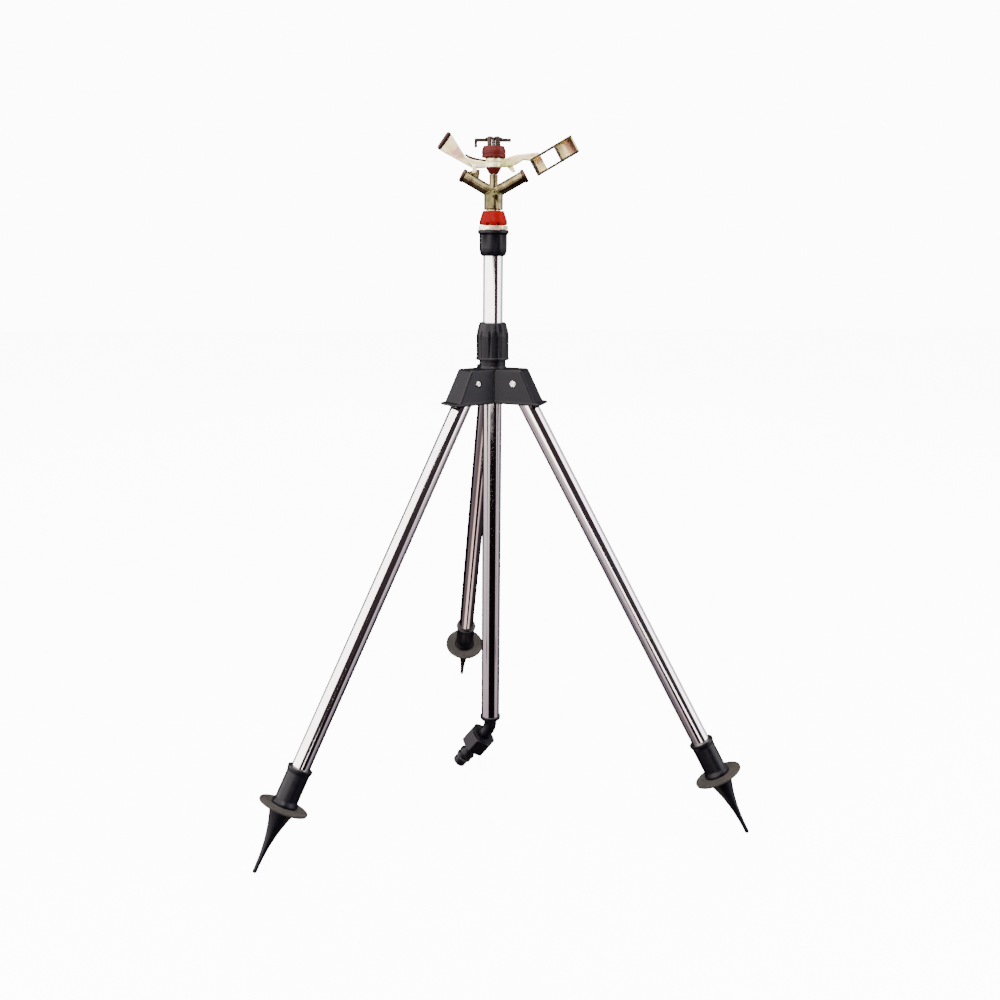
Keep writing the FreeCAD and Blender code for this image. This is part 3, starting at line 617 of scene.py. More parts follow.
@dataclass(frozen=True)
class PolishedTube(Finish):
    """Mirror-polished tube: faint lengthwise drawing lines, a warm cast and hazy handling marks."""

    name: str = "polished_tube"
    light: tuple[float, float, float] = (0.86, 0.83, 0.825)
    warm: tuple[float, float, float] = (0.74, 0.67, 0.655)

    def make(self) -> bpy.types.Material:
        """Noise stretched along the tube's own UV map gives lines; broad noise gives haze."""
        tree = self.tree()
        uv = tree.node("TexCoord", output="UV")
        along = tree.node("Mapping", None, Vector=uv, Scale=(90.0, 1.2, 1.0))
        lines = noise(tree, along, 3.0, 4.0)
        spots = tree.node("TexCoord", output="Object")
        haze = noise(tree, spots, 38.0, 4.0, 0.6).between(0.35, 0.75)
        wear = noise(tree, spots, 420.0, 2.0).between(0.60, 0.78)
        tree.surface(
            Base_Color=blend(tree, haze * 0.6 + lines * 0.35, self.light, self.warm),
            Metallic=1.0,
            Roughness=0.045 + haze * 0.055 + lines * 0.03 + wear * 0.08,
            Normal=bump(tree, lines, 0.000006))
        return tree.owner


@dataclass(frozen=True)
class MouldedPlastic(Finish):
    """Satin moulded plastic: fine spark-eroded grain, slow flow marks and paler rubbed patches."""

    name: str = "charcoal_plastic"
    colour: tuple[float, float, float] = (0.0014, 0.0011, 0.0022)
    rubbed: tuple[float, float, float] = (0.0125, 0.0100, 0.0170)
    rough: float = 0.30
    grain: float = 1500.0
    depth: float = 0.00005
    gloss: float = 0.15

    def make(self) -> bpy.types.Material:
        """Fine noise for the grain, broad noise for flow marks, their product for rubbed spots."""
        tree = self.tree()
        where = tree.node("TexCoord", output="Object")
        fine = noise(tree, where, self.grain, 2.0)
        flow = noise(tree, where, 60.0, 3.0)
        rub = (noise(tree, where, 190.0, 5.0, 0.65).between(0.52, 0.78)) * flow.between(0.3, 0.7)
        tree.surface(
            Base_Color=blend(tree, rub * 0.7 + fine * 0.18, self.colour, self.rubbed),
            Roughness=self.rough + fine * 0.14 + rub * 0.16 - flow * 0.08,
            Specular_IOR_Level=self.gloss,
            Normal=bump(tree, fine + flow * 0.6, self.depth))
        return tree.owner


@dataclass(frozen=True)
class DustyPlastic(Finish):
    """Matte plastic under dried dust, thicker on faces that look up."""

    name: str = "dusty_disc"
    colour: tuple[float, float, float] = (0.010, 0.009, 0.009)
    dust: tuple[float, float, float] = (0.042, 0.036, 0.032)

    def make(self) -> bpy.types.Material:
        """Dust is broad noise times the upward part of the normal, broken up by fine noise."""
        tree = self.tree()
        where = tree.node("TexCoord", output="Object")
        normal = tree.node("NewGeometry", output="Normal")
        up = tree.node("SeparateXYZ", None, output="Z", Vector=normal).between(-0.3, 0.8)
        cloud = noise(tree, where, 110.0, 6.0, 0.62).between(0.32, 0.68)
        speck = noise(tree, where, 1300.0, 2.0)
        cover = up * (0.35 + cloud * 0.55) + speck * 0.12
        tree.surface(
            Base_Color=blend(tree, cover.between(0.0, 1.0), self.colour, self.dust),
            Roughness=0.62 + cover * 0.28,
            Specular_IOR_Level=0.15,
            Normal=bump(tree, speck + cloud * 0.5, 0.00007))
        return tree.owner


FLAT_MIDDLE = 3.5 / 8


@dataclass(frozen=True)
class YellowPassivate(Finish):
    """Zinc with a yellow passivated skin: straw, olive green and rosy purple drift over a fine casting."""

    name: str = "yellow_passivate"
    straw: tuple[float, float, float] = (0.90, 0.72, 0.32)
    cream: tuple[float, float, float] = (0.97, 0.87, 0.56)
    olive: tuple[float, float, float] = (0.40, 0.43, 0.12)
    rose: tuple[float, float, float] = (0.70, 0.33, 0.32)
    rough: float = 0.28
    metal: float = 0.50
    # Whether the sheet gets dark strips of painted shade along both edges.
    painted_shade_edges: bool = False

    def make(self) -> bpy.types.Material:
        """A ramp over broad noise picks the tint.

        A sheet's UV map runs across its width in its first coordinate u, and the square of
        u - FLAT_MIDDLE marks dark strips of painted shade along both edges.

        Returns:
            The material.
        """
        tree = self.tree()
        where = tree.node("TexCoord", output="Object")
        broad = noise(tree, where, 55.0, 2.5, 0.5)
        second = noise(tree, where, 130.0, 3.0)
        drift = (broad * 0.75 + second * 0.25).between(0.34, 0.66)
        tint = tree.node("ValToRGB", {"stops": [
            (0.0, self.olive), (0.22, self.straw), (0.48, self.cream), (0.70, self.straw),
            (0.86, self.rose), (1.0, self.olive)]}, output="Color", Fac=drift)
        fine = noise(tree, where, 700.0, 3.0)
        pits = noise(tree, where, 420.0, 5.0, 0.7).between(0.58, 0.75)
        colour = blend(tree, pits * 0.35, tint, (0.36, 0.30, 0.14))
        # Painted shade: near-black strips along both edges of a sheet.
        if self.painted_shade_edges:
            uv = tree.node("TexCoord", output="UV")
            off = tree.node("SeparateXYZ", None, output="X", Vector=uv) - FLAT_MIDDLE
            colour = blend(tree, (off * off).between(0.0020, 0.0030), colour, (0.016, 0.011, 0.008))
        tree.surface(
            Base_Color=colour,
            Metallic=self.metal - pits * 0.25,
            Roughness=self.rough + fine * 0.12 + pits * 0.15,
            Normal=bump(tree, fine + second * 0.8, 0.00002))
        return tree.owner


@dataclass(frozen=True)
class TintedShadedVane(Finish):
    """Passivated strip whose colour runs from straw through rose to purple and near black along its length:
    the straw and rose are its passivate tint, the darkening through purple to near black is painted shade on
    its curled end.
    """

    name: str = "tinted_and_shaded_vane"

    def make(self) -> bpy.types.Material:
        """A ramp over the strip's own length, bent by noise, picks the tint and the painted shade towards the
        curled end.
        """
        tree = self.tree()
        where = tree.node("TexCoord", output="Object")
        uv = tree.node("TexCoord", output="UV")
        broad = noise(tree, where, 90.0, 3.0)
        along = tree.node("SeparateXYZ", None, output="X", Vector=uv) + broad * 0.30 - 0.15
        # The last stops, purple to near black, are painted shade where the strip curls away.
        tint = tree.node("ValToRGB", {"stops": [
            (0.0, (0.72, 0.62, 0.30)), (0.30, (0.80, 0.68, 0.34)), (0.46, (0.62, 0.40, 0.28)),
            (0.62, (0.30, 0.15, 0.17)), (0.82, (0.12, 0.06, 0.07)), (1.0, (0.03, 0.02, 0.02))]},
            output="Color", Fac=along)
        fine = noise(tree, where, 700.0, 3.0)
        tree.surface(Base_Color=tint, Metallic=0.75, Roughness=0.30 + fine * 0.12,
                     Normal=bump(tree, fine, 0.00002))
        return tree.owner


@dataclass(frozen=True)
class WornMetal(Finish):
    """Small metal part: one base tint, darker marks in hollows of a fine scratch pattern."""

    name: str = "bright_zinc"
    colour: tuple[float, float, float] = (0.80, 0.79, 0.76)
    mark: tuple[float, float, float] = (0.45, 0.43, 0.40)
    rough: float = 0.22
    metal: float = 1.0

    def make(self) -> bpy.types.Material:
        """Two noises, one long and one fine, mark the tint and the roughness."""
        tree = self.tree()
        where = tree.node("TexCoord", output="Object")
        marks = noise(tree, where, 700.0, 4.0, 0.65).between(0.45, 0.75)
        cloud = noise(tree, where, 160.0, 3.0)
        tree.surface(
            Base_Color=blend(tree, marks * 0.5 + cloud * 0.25, self.colour, self.mark),
            Metallic=self.metal,
            Roughness=self.rough + marks * 0.16 + cloud * 0.08,
            Normal=bump(tree, marks + cloud, 0.00003))
        return tree.owner


TUBE = PolishedTube()
CHARCOAL = MouldedPlastic()
DUST = DustyPlastic()
ZINC = YellowPassivate()
BRIGHT = WornMetal()
DARK_METAL = WornMetal("dark_oxide", (0.022, 0.014, 0.011), (0.060, 0.038, 0.026), 0.30, 0.85)
BRONZE = WornMetal("dark_bronze", (0.060, 0.032, 0.020), (0.025, 0.014, 0.010), 0.26, 0.95)
# Near-black metal for strips and beads of painted shade on the arm and its stop.
SHADE_METAL = WornMetal("painted_shade_metal", (0.030, 0.014, 0.009), (0.010, 0.006, 0.004), 0.30, 0.80)
SPRING_WIRE = WornMetal("spring_wire", (0.42, 0.41, 0.40), (0.22, 0.21, 0.20), 0.28)
BRASS = WornMetal("turned_brass", (0.80, 0.58, 0.26), (0.48, 0.32, 0.12), 0.24)
RED = MouldedPlastic("signal_red", (0.18, 0.0005, 0.0004), (0.24, 0.003, 0.002), 0.30, 1100.0, 0.00003, 0.05)
DARK_RED = MouldedPlastic("brick_red", (0.062, 0.0040, 0.0034), (0.10, 0.014, 0.011), 0.38, 1200.0,
                          0.00004, 0.12)
RUBBER = MouldedPlastic("seal_rubber", (0.016, 0.016, 0.017), (0.05, 0.05, 0.05), 0.52, 2200.0, 0.00003)
CASTING = YellowPassivate("yellow_casting", (0.10, 0.072, 0.034), (0.21, 0.17, 0.09), (0.050, 0.050, 0.018),
                         (0.10, 0.045, 0.034), 0.22, 0.98)
BASE_ZINC = YellowPassivate("bright_base", (0.88, 0.72, 0.40), (0.96, 0.86, 0.62), (0.40, 0.38, 0.15),
                            (0.62, 0.38, 0.30), 0.28, 0.65)
# Passivated sheet with painted shade along both edges.
SHADED_EDGE_SHEET = YellowPassivate("painted_shade_edge_sheet", painted_shade_edges=True)
VANE = TintedShadedVane()
# Reflected studio.  BANDS: colour by heading, 0.5 towards the camera's side.  LEVELS: what it is
# multiplied by at each height, from straight down at 0 to straight up at 1.  PANEL: share of the
# overhead panel.  EDGE: how far the left bright band reaches, as a heading, at each height.
BANDS = [(0.0, (0.01, 0.01, 0.01)), (0.18, (0.01, 0.01, 0.01)), (0.20, (1.0, 0.93, 0.93)),
         (0.42, (1.0, 0.93, 0.93)), (0.435, (0.006, 0.004, 0.005)), (0.645, (0.006, 0.004, 0.005)),
         (0.67, (0.80, 0.77, 0.82)), (0.75, (0.80, 0.77, 0.82)), (0.79, (0.20, 0.19, 0.21)),
         (0.87, (0.14, 0.13, 0.14)), (0.89, (0.01, 0.01, 0.01)), (1.0, (0.01, 0.01, 0.01))]
LEVELS = [(0.0, (0.24, 0.19, 0.18)), (0.03, (0.24, 0.19, 0.18)), (0.07, (0.02, 0.015, 0.015)),
          (0.20, (0.03, 0.025, 0.03)), (0.28, (0.10, 0.09, 0.10)), (0.39, (0.16, 0.15, 0.16)),
          (0.425, (0.26, 0.25, 0.26)), (0.455, (0.95, 0.92, 0.92)), (0.49, (1.0, 1.0, 1.0)),
          (0.80, (1.0, 1.0, 1.0)),
          (0.88, (0.35, 0.33, 0.33)), (1.0, (0.25, 0.23, 0.22))]
PANEL = [(0.0, (0.0, 0.0, 0.0)), (0.86, (0.0, 0.0, 0.0)), (0.91, (0.75, 0.75, 0.75)),
         (1.0, (0.75, 0.75, 0.75))]
EDGE = [(0.0, (0.42, 0.42, 0.42)), (0.425, (0.42, 0.42, 0.42)), (0.435, (0.56, 0.56, 0.56)),
        (0.482, (0.56, 0.56, 0.56)), (0.496, (0.465, 0.465, 0.465)), (1.0, (0.465, 0.465, 0.465))]
NYLON = MouldedPlastic("white_nylon", (0.78, 0.76, 0.70), (0.62, 0.60, 0.55), 0.42, 1500.0, 0.00002)


# ---------------------------------------------------------------- tripod hub and clamp nut

@dataclass
class TripodHub:
    """Three-lobed hub, its threaded neck, collet, clamp nut and pivot fasteners."""

    reach_low: float = 50.0 * MM
    reach_high: float = 33.5 * MM
    half_low: float = 13.0 * MM
    half_high: float = 11.2 * MM
    lip_reach: float = 3.4 * MM
    lip_half: float = 0.8 * MM
    lip_height: float = 2.4 * MM
    shoulder: float = 29.3 * MM
    neck_radius: float = 12.9 * MM
    neck_height: float = 6.6 * MM
    thread_radius: float = 12.3 * MM
    bore: float = 9.8 * MM
    pocket_half: float = 9.3 * MM
    pocket_inner: float = 14.0 * MM
    wall: float = 1.8 * MM
    roof: float = 4.4 * MM
    bolt_half: float = 10.7 * MM
    bolt_head: float = 2.9 * MM
    recess: float = 3.6 * MM
    bottom: float = field(init=False)
    top: float = field(init=False)
    thread_top: float = field(init=False)
    pivots: list[Place] = field(init=False)

    def __post_init__(self) -> None:
        """Take heights and pivots from the frame."""
        low, high = box("tripod_hub")
        self.bottom = low[2]
        self.top = low[2] + self.lip_height / 2 + self.shoulder + 2.9 * MM
        self.thread_top = high[2]
        folds = [joint for joint in frame["joints"] if joint["name"].endswith("_leg_fold")]
        self.pivots = [place_along(joint["pos_m"], joint["axis"], (joint["pos_m"][0], joint["pos_m"][1], 0))
                       for joint in folds]

    def lobes(self, reach: Array, half: Array, corner: float = 2.2 * MM) -> Array:
        """Y-shaped outlines at several levels.

        Each lobe k points at 90 + 120 k degrees and ends in two corners at (reach, -half) and
        (reach, half) in its own turned axes; between lobes the sides meet in a crease at the
        distance half / cos 30.

        Args:
            reach: Distance of the lobe ends, one to a level.
            half: Half width of the lobes, one to a level.
            corner: Easing of the lobes' corners.

        Returns:
            Points of shape (levels, n, 2).
        """
        turns = np.radians([90.0, 210.0, 330.0])
        easing = np.tile([corner, corner, 1.2 * MM], 3)
        rings = []
        for far, wide in zip(reach, half):
            local = np.array([[far, -wide], [far, wide]])
            crease = wide / math.cos(math.pi / 6)
            corners = []
            for turn in turns:
                spin = np.array([[math.cos(turn), math.sin(turn)], [-math.sin(turn), math.cos(turn)]])
                corners += (local @ spin).tolist()
                between = turn + math.pi / 3
                corners.append([crease * math.cos(between), crease * math.sin(between)])
            rings.append(rounded(corners, easing, 6))
        return np.array(rings)

    def build(self) -> None:
        """Make every piece of the hub."""
        self.body()
        self.nut()
        self.fasteners()
        dress_node("clamp_collet", CHARCOAL)

    def body(self) -> None:
        """Hub shell: lip, tapering lobes and rolled top edge as one stack of Y outlines, then its hollows."""
        ease = 0.7 * MM
        bend = np.array([0.0, 0.3, 0.7, 1.0])
        curve = np.sin(bend * math.pi / 2)
        lip = self.reach_low + self.lip_reach
        wide = self.half_low + self.lip_half
        levels = np.concatenate([
            self.bottom + ease * (1 - np.cos(bend * math.pi / 2)),
            self.bottom + self.lip_height - ease * (1 - np.cos(bend[::-1] * math.pi / 2)),
            [self.bottom + self.lip_height + 0.5 * MM],
            np.linspace(self.bottom + self.lip_height + 1.2 * MM, self.top - 1.6 * MM, 8),
            self.top - 1.2 * MM * (1 - np.sin(bend * math.pi / 2))])
        taper = np.clip((levels - self.bottom) / (self.top - self.bottom), 0, 1)
        reach = self.reach_low + (self.reach_high - self.reach_low) * taper
        half = self.half_low + (self.half_high - self.half_low) * taper
        reach[:8] = lip - ease * (1 - np.concatenate([curve, curve[::-1]]))
        half[:8] = wide - ease * (1 - np.concatenate([curve, curve[::-1]]))
        reach[-4:] -= 1.2 * MM * (1 - np.cos(bend * math.pi / 2))
        half[-4:] -= 1.2 * MM * (1 - np.cos(bend * math.pi / 2))
        rings = self.lobes(reach, half)
        heights = np.broadcast_to(levels[:, None, None], rings.shape[:2] + (1,))
        shell = Surface().grid(np.concatenate([rings, heights], -1), (False, True), caps=True)
        piece = add_object("hub_body", shell.mesh("hub_body"))
        carve(piece, self.hollows())
        finished(piece, CHARCOAL, "stand", ["tripod_hub"])
        neck = rounded([
            (self.bore, self.top - 3 * MM), (self.neck_radius + 0.8 * MM, self.top - 3 * MM),
            (self.neck_radius + 0.8 * MM, self.top + 0.5 * MM), (self.neck_radius, self.top + 2.2 * MM),
            (self.neck_radius, self.top + self.neck_height),
            (self.thread_radius, self.top + self.neck_height),
            (self.thread_radius, self.thread_top), (self.bore, self.thread_top)], 0.5 * MM)
        collar = add_object("hub_neck", Surface().turned(neck, on_axis(0)).mesh("hub_neck"))
        finished(collar, CHARCOAL, "stand")

    def hollows(self) -> Surface:
        """Leg pockets, bolt recesses and the riser's bore, as closed cutters."""
        cutter = Surface()
        pocket = [(self.pocket_inner, self.bottom - 4 * MM),
                  (self.reach_low - self.wall, self.bottom - 4 * MM),
                  (self.reach_low - self.wall, self.bottom + 2.2 * MM),
                  (self.reach_high - self.wall + 1 * MM, self.top - self.roof),
                  (self.pocket_inner, self.top - self.roof)]
        for pivot in self.pivots:
            lobe = Place(np.zeros(3), np.stack([pivot.axes[0], (0, 0, 1), -pivot.axes[2]]))
            cutter.prism(rounded(pocket, 1.0 * MM, 4), -self.pocket_half, self.pocket_half, lobe, 0.3 * MM)
            for low, high in ((self.bolt_half, 3 * self.bolt_half), (-3 * self.bolt_half, -self.bolt_half)):
                bowl = rounded([(0, low), (self.recess, low), (self.recess, high), (0, high)],
                               0.3 * MM, 4, False)
                cutter.turned(bowl, pivot, 40, closed=False)
        well = np.array([(0, self.bottom - 5 * MM), (self.bore, self.bottom - 5 * MM),
                         (self.bore, self.top + 5 * MM), (0, self.top + 5 * MM)])
        return cutter.turned(well, on_axis(0), 72, closed=False)

    def fasteners(self) -> None:
        """Pan-headed pivot bolts with a round socket, and hexagonal nuts, each pair in one lobe."""
        names = [joint["name"][:-9] for joint in frame["joints"] if joint["name"].endswith("_leg_fold")]
        for side, pivot in zip(names, self.pivots):
            reach, head = self.bolt_half, self.bolt_head
            outline = [(0, -reach - 1.3 * MM), (1.7 * MM, -reach - 1.3 * MM), (2 * MM, -reach),
                       (2 * MM, reach),
                       (head, reach), (head, reach + 0.8 * MM), (head - 0.9 * MM, reach + 1.5 * MM),
                       (1.2 * MM, reach + 1.5 * MM), (1.1 * MM, reach + 0.7 * MM), (0, reach + 0.7 * MM)]
            bolt = Surface().turned(rounded(outline, 0.25 * MM, 4, False), pivot, 48, closed=False)
            finished(add_object(f"pivot_bolt_{side}_shown", bolt.mesh("bolt")), BRIGHT, "stand",
                     [f"pivot_bolt_{side}"])
            over = Place(pivot.origin, np.stack([pivot.axes[0], -pivot.axes[1], -pivot.axes[2]]))
            ring = hexagon_ring(2.0 * MM, 5.6 * MM, reach, reach + 1.3 * MM, 0.3 * MM)
            nut = Surface().grid(over.out(ring), (True, True))
            finished(add_object(f"pivot_nut_{side}_shown", nut.mesh("nut")), BRIGHT, "stand",
                     [f"pivot_nut_{side}"])

    def nut(self) -> None:
        """Clamp nut: a turned body whose skin is drawn in by narrow grooves between broad ribs.

        The radius is the outline's less depth * w(z) * max(0, cos(count * a))^6, with w(z) rising
        from 0 at the grooves' ends to 1 between them, plus a small lug under each rib.
        """
        low, high = box("clamp_nut")
        radius = (high[0] - low[0]) / 2
        bottom, top = low[2], high[2]
        crown = 12.4 * MM
        mouth = 10.3 * MM
        outline = rounded([
            (self.thread_radius + 0.3 * MM, bottom), (radius, bottom), (radius, bottom + 2.0 * MM),
            (radius - 0.5 * MM, bottom + 2.6 * MM), (radius - 0.4 * MM, top - 12.5 * MM),
            (radius - 1.3 * MM, top - 8.0 * MM), (crown + 0.5 * MM, top - 1.0 * MM), (crown, top),
            (mouth, top),
            (mouth, top - 2.4 * MM), (self.thread_radius + 0.3 * MM, top - 12 * MM)], 0.7 * MM, 6)
        angle = np.linspace(0, TURN, 240, endpoint=False)[:, None]
        r, z = outline.T
        outer = r > crown - 0.2 * MM
        level = (z - bottom) / (top - bottom)
        weight = np.clip((level - 0.07) / 0.05, 0, 1) * np.clip((0.80 - level) / 0.10, 0, 1) * outer
        groove = np.maximum(0, np.cos(10 * angle)) ** 6
        facet = 0.35 * MM * np.cos(10 * angle) * np.clip((level - 0.70) / 0.1, 0, 1) * outer
        shaped = r - 1.5 * MM * weight * groove - facet
        local = np.stack([shaped * np.cos(angle), shaped * np.sin(angle),
                          np.broadcast_to(z, shaped.shape)], -1)
        piece = add_object("clamp_nut_shown", Surface().grid(local, (True, True)).mesh("clamp_nut"))
        finished(piece, CHARCOAL, "clamp_nut", ["clamp_nut"])


def hexagon_ring(bore: float, flats: float, low: float, high: float, ease: float, count: int = 6) -> Array:
    """Ring with a hexagonal outside and a round bore, as one grid closed both ways.

    The outside's radius at angle a is (flats / 2) / cos(a') with a' the angle from the nearest
    flat's middle, held below the cone that chamfers both ends.

    Args:
        bore: Radius of the bore.
        flats: Distance across flats.
        low: Height of the lower face.
        high: Height of the upper face.
        ease: Easing of the bore's and faces' edges.
        count: Number of flats.

    Returns:
        Local points of shape (angles, levels, 3).
    """
    angle = np.linspace(0, TURN, count * 20, endpoint=False)[:, None]
    fold = TURN / count
    off = (angle + fold / 2) % fold - fold / 2
    corner = flats / 2 / math.cos(fold / 2)
    outline = rounded([(bore, low), (corner, low), (corner, high), (bore, high)], ease, 5)
    r, z = outline.T
    outside = r > (bore + corner) / 2
    chamfer = corner - np.maximum(0, 0.9 * MM * corner / (14 * MM) - np.minimum(z - low, high - z)) * 1.7
    flat = np.minimum(flats / 2 / np.cos(off), chamfer[None, :])
    shaped = np.where(outside[None, :], np.minimum(flat, r[None, :]), r[None, :])
    return np.stack([shaped * np.cos(angle), shaped * np.sin(angle), np.broadcast_to(z, shaped.shape)], -1)


# ---------------------------------------------------------------- legs

@dataclass
class Leg:
    """One leg, drawn down from its pivot: tube, foot socket with spike, and ground disc."""

    side: str
    splay: float = math.radians(30)
    radius: float = 9.0 * MM
    wall: float = 1.0 * MM
    start: float = 14.0 * MM
    spike: float = 67.0 * MM
    socket: float = 37.0 * MM
    socket_radius: float = 11.1 * MM
    mouth_radius: float = 12.2 * MM
    shoulder_radius: float = 12.6 * MM
    spike_radius: float = 10.9 * MM
    flare_radius: float = 13.4 * MM
    tip_radius: float = 2.1 * MM
    disc_radius: float = 23.95 * MM
    disc_thickness: float = 3.0 * MM
    length: float = 501.2 * MM
    place: Place = field(init=False)

    def __post_init__(self) -> None:
        """Stand the leg at its joint, with Z down along the leg."""
        joint = next(item for item in frame["joints"] if item["name"] == f"{self.side}_leg_fold")
        pivot = np.array(joint["pos_m"])
        out = unit((pivot[0], pivot[1], 0))
        down = out * math.sin(self.splay) - np.array((0, 0, math.cos(self.splay)))
        self.place = place_along(pivot, down, joint["axis"])

    def build(self) -> None:
        """Make the leg's pieces."""
        body = f"{self.side}_leg"
        disc = self.length - self.spike
        tube = rounded([(self.radius - self.wall, self.start), (self.radius, self.start),
                        (self.radius, disc - 3 * MM), (self.radius - self.wall, disc - 3 * MM)], 0.3 * MM, 3)
        made = Surface().turned(tube, self.place, 96)
        finished(add_object(f"leg_tube_{self.side}_shown", made.mesh("leg_tube")), TUBE, body,
                 [f"leg_tube_{self.side}"])
        self.foot(body, disc)
        self.ground_disc(body, disc)
        dress_node(f"leg_eye_{self.side}", CHARCOAL)

    def foot(self, body: str, disc: float) -> None:
        """Foot socket and spike in one moulding.

        Below the disc the radius falls as tip + (top - tip) (1 - u)^2.3 with u the part of the
        way down, which gives the spike its hollow flare; the tip is a half ellipse.

        Args:
            body: The CAD body that it rides on.
            disc: Distance of the ground disc's upper face down the leg.
        """
        mouth = disc - self.socket
        upper = rounded([
            (self.radius, disc - 3 * MM), (self.radius, mouth), (self.mouth_radius, mouth),
            (self.mouth_radius, mouth + 2 * MM), (self.socket_radius, mouth + 5.5 * MM),
            (self.socket_radius, disc - 6 * MM), (self.shoulder_radius, disc - 2.2 * MM),
            (self.shoulder_radius, disc), (self.spike_radius, disc),
            (self.spike_radius, disc + self.disc_thickness)], 0.6 * MM, 5, False)
        part = np.linspace(0, 1, 40)
        long = self.spike - self.disc_thickness - 2 * MM
        flare = self.tip_radius + (self.flare_radius - self.tip_radius) * (1 - part) ** 2.3
        spike = np.stack([flare, disc + self.disc_thickness + long * part], 1)
        bend = np.linspace(0, math.pi / 2, 8)[1:]
        tip = np.stack([self.tip_radius * np.cos(bend), self.length - 2 * MM + 2 * MM * np.sin(bend)], 1)
        floor = np.array([[0.0, disc - 3 * MM]])
        outline = np.concatenate([floor, upper, spike, tip])
        made = Surface().turned(outline, self.place, 80, closed=False)
        finished(add_object(f"foot_spike_{self.side}_shown", made.mesh("foot_spike")), CHARCOAL, body,
                 [f"foot_spike_{self.side}"])

    def ground_disc(self, body: str, disc: float) -> None:
        """Ground disc: a flat ring, dished a little between its hub and its rolled rim.

        Args:
            body: The CAD body that it rides on.
            disc: Distance of its upper face down the leg.
        """
        thick = self.disc_thickness
        outline = rounded([
            (self.spike_radius, disc), (self.shoulder_radius + 1 * MM, disc),
            (self.shoulder_radius + 2.2 * MM, disc + 0.7 * MM),
            (self.disc_radius - 2.2 * MM, disc + 0.8 * MM),
            (self.disc_radius - 1.2 * MM, disc + 0.2 * MM), (self.disc_radius, disc + 0.7 * MM),
            (self.disc_radius, disc + thick - 0.6 * MM), (self.disc_radius - 1 * MM, disc + thick),
            (self.spike_radius, disc + thick)], 0.5 * MM, 5)
        made = Surface().turned(outline, self.place, 112)
        finished(add_object(f"ground_disc_{self.side}_shown", made.mesh("ground_disc")), DUST, body,
                 [f"ground_disc_{self.side}"])


# ---------------------------------------------------------------- riser, elbow and hose adapter

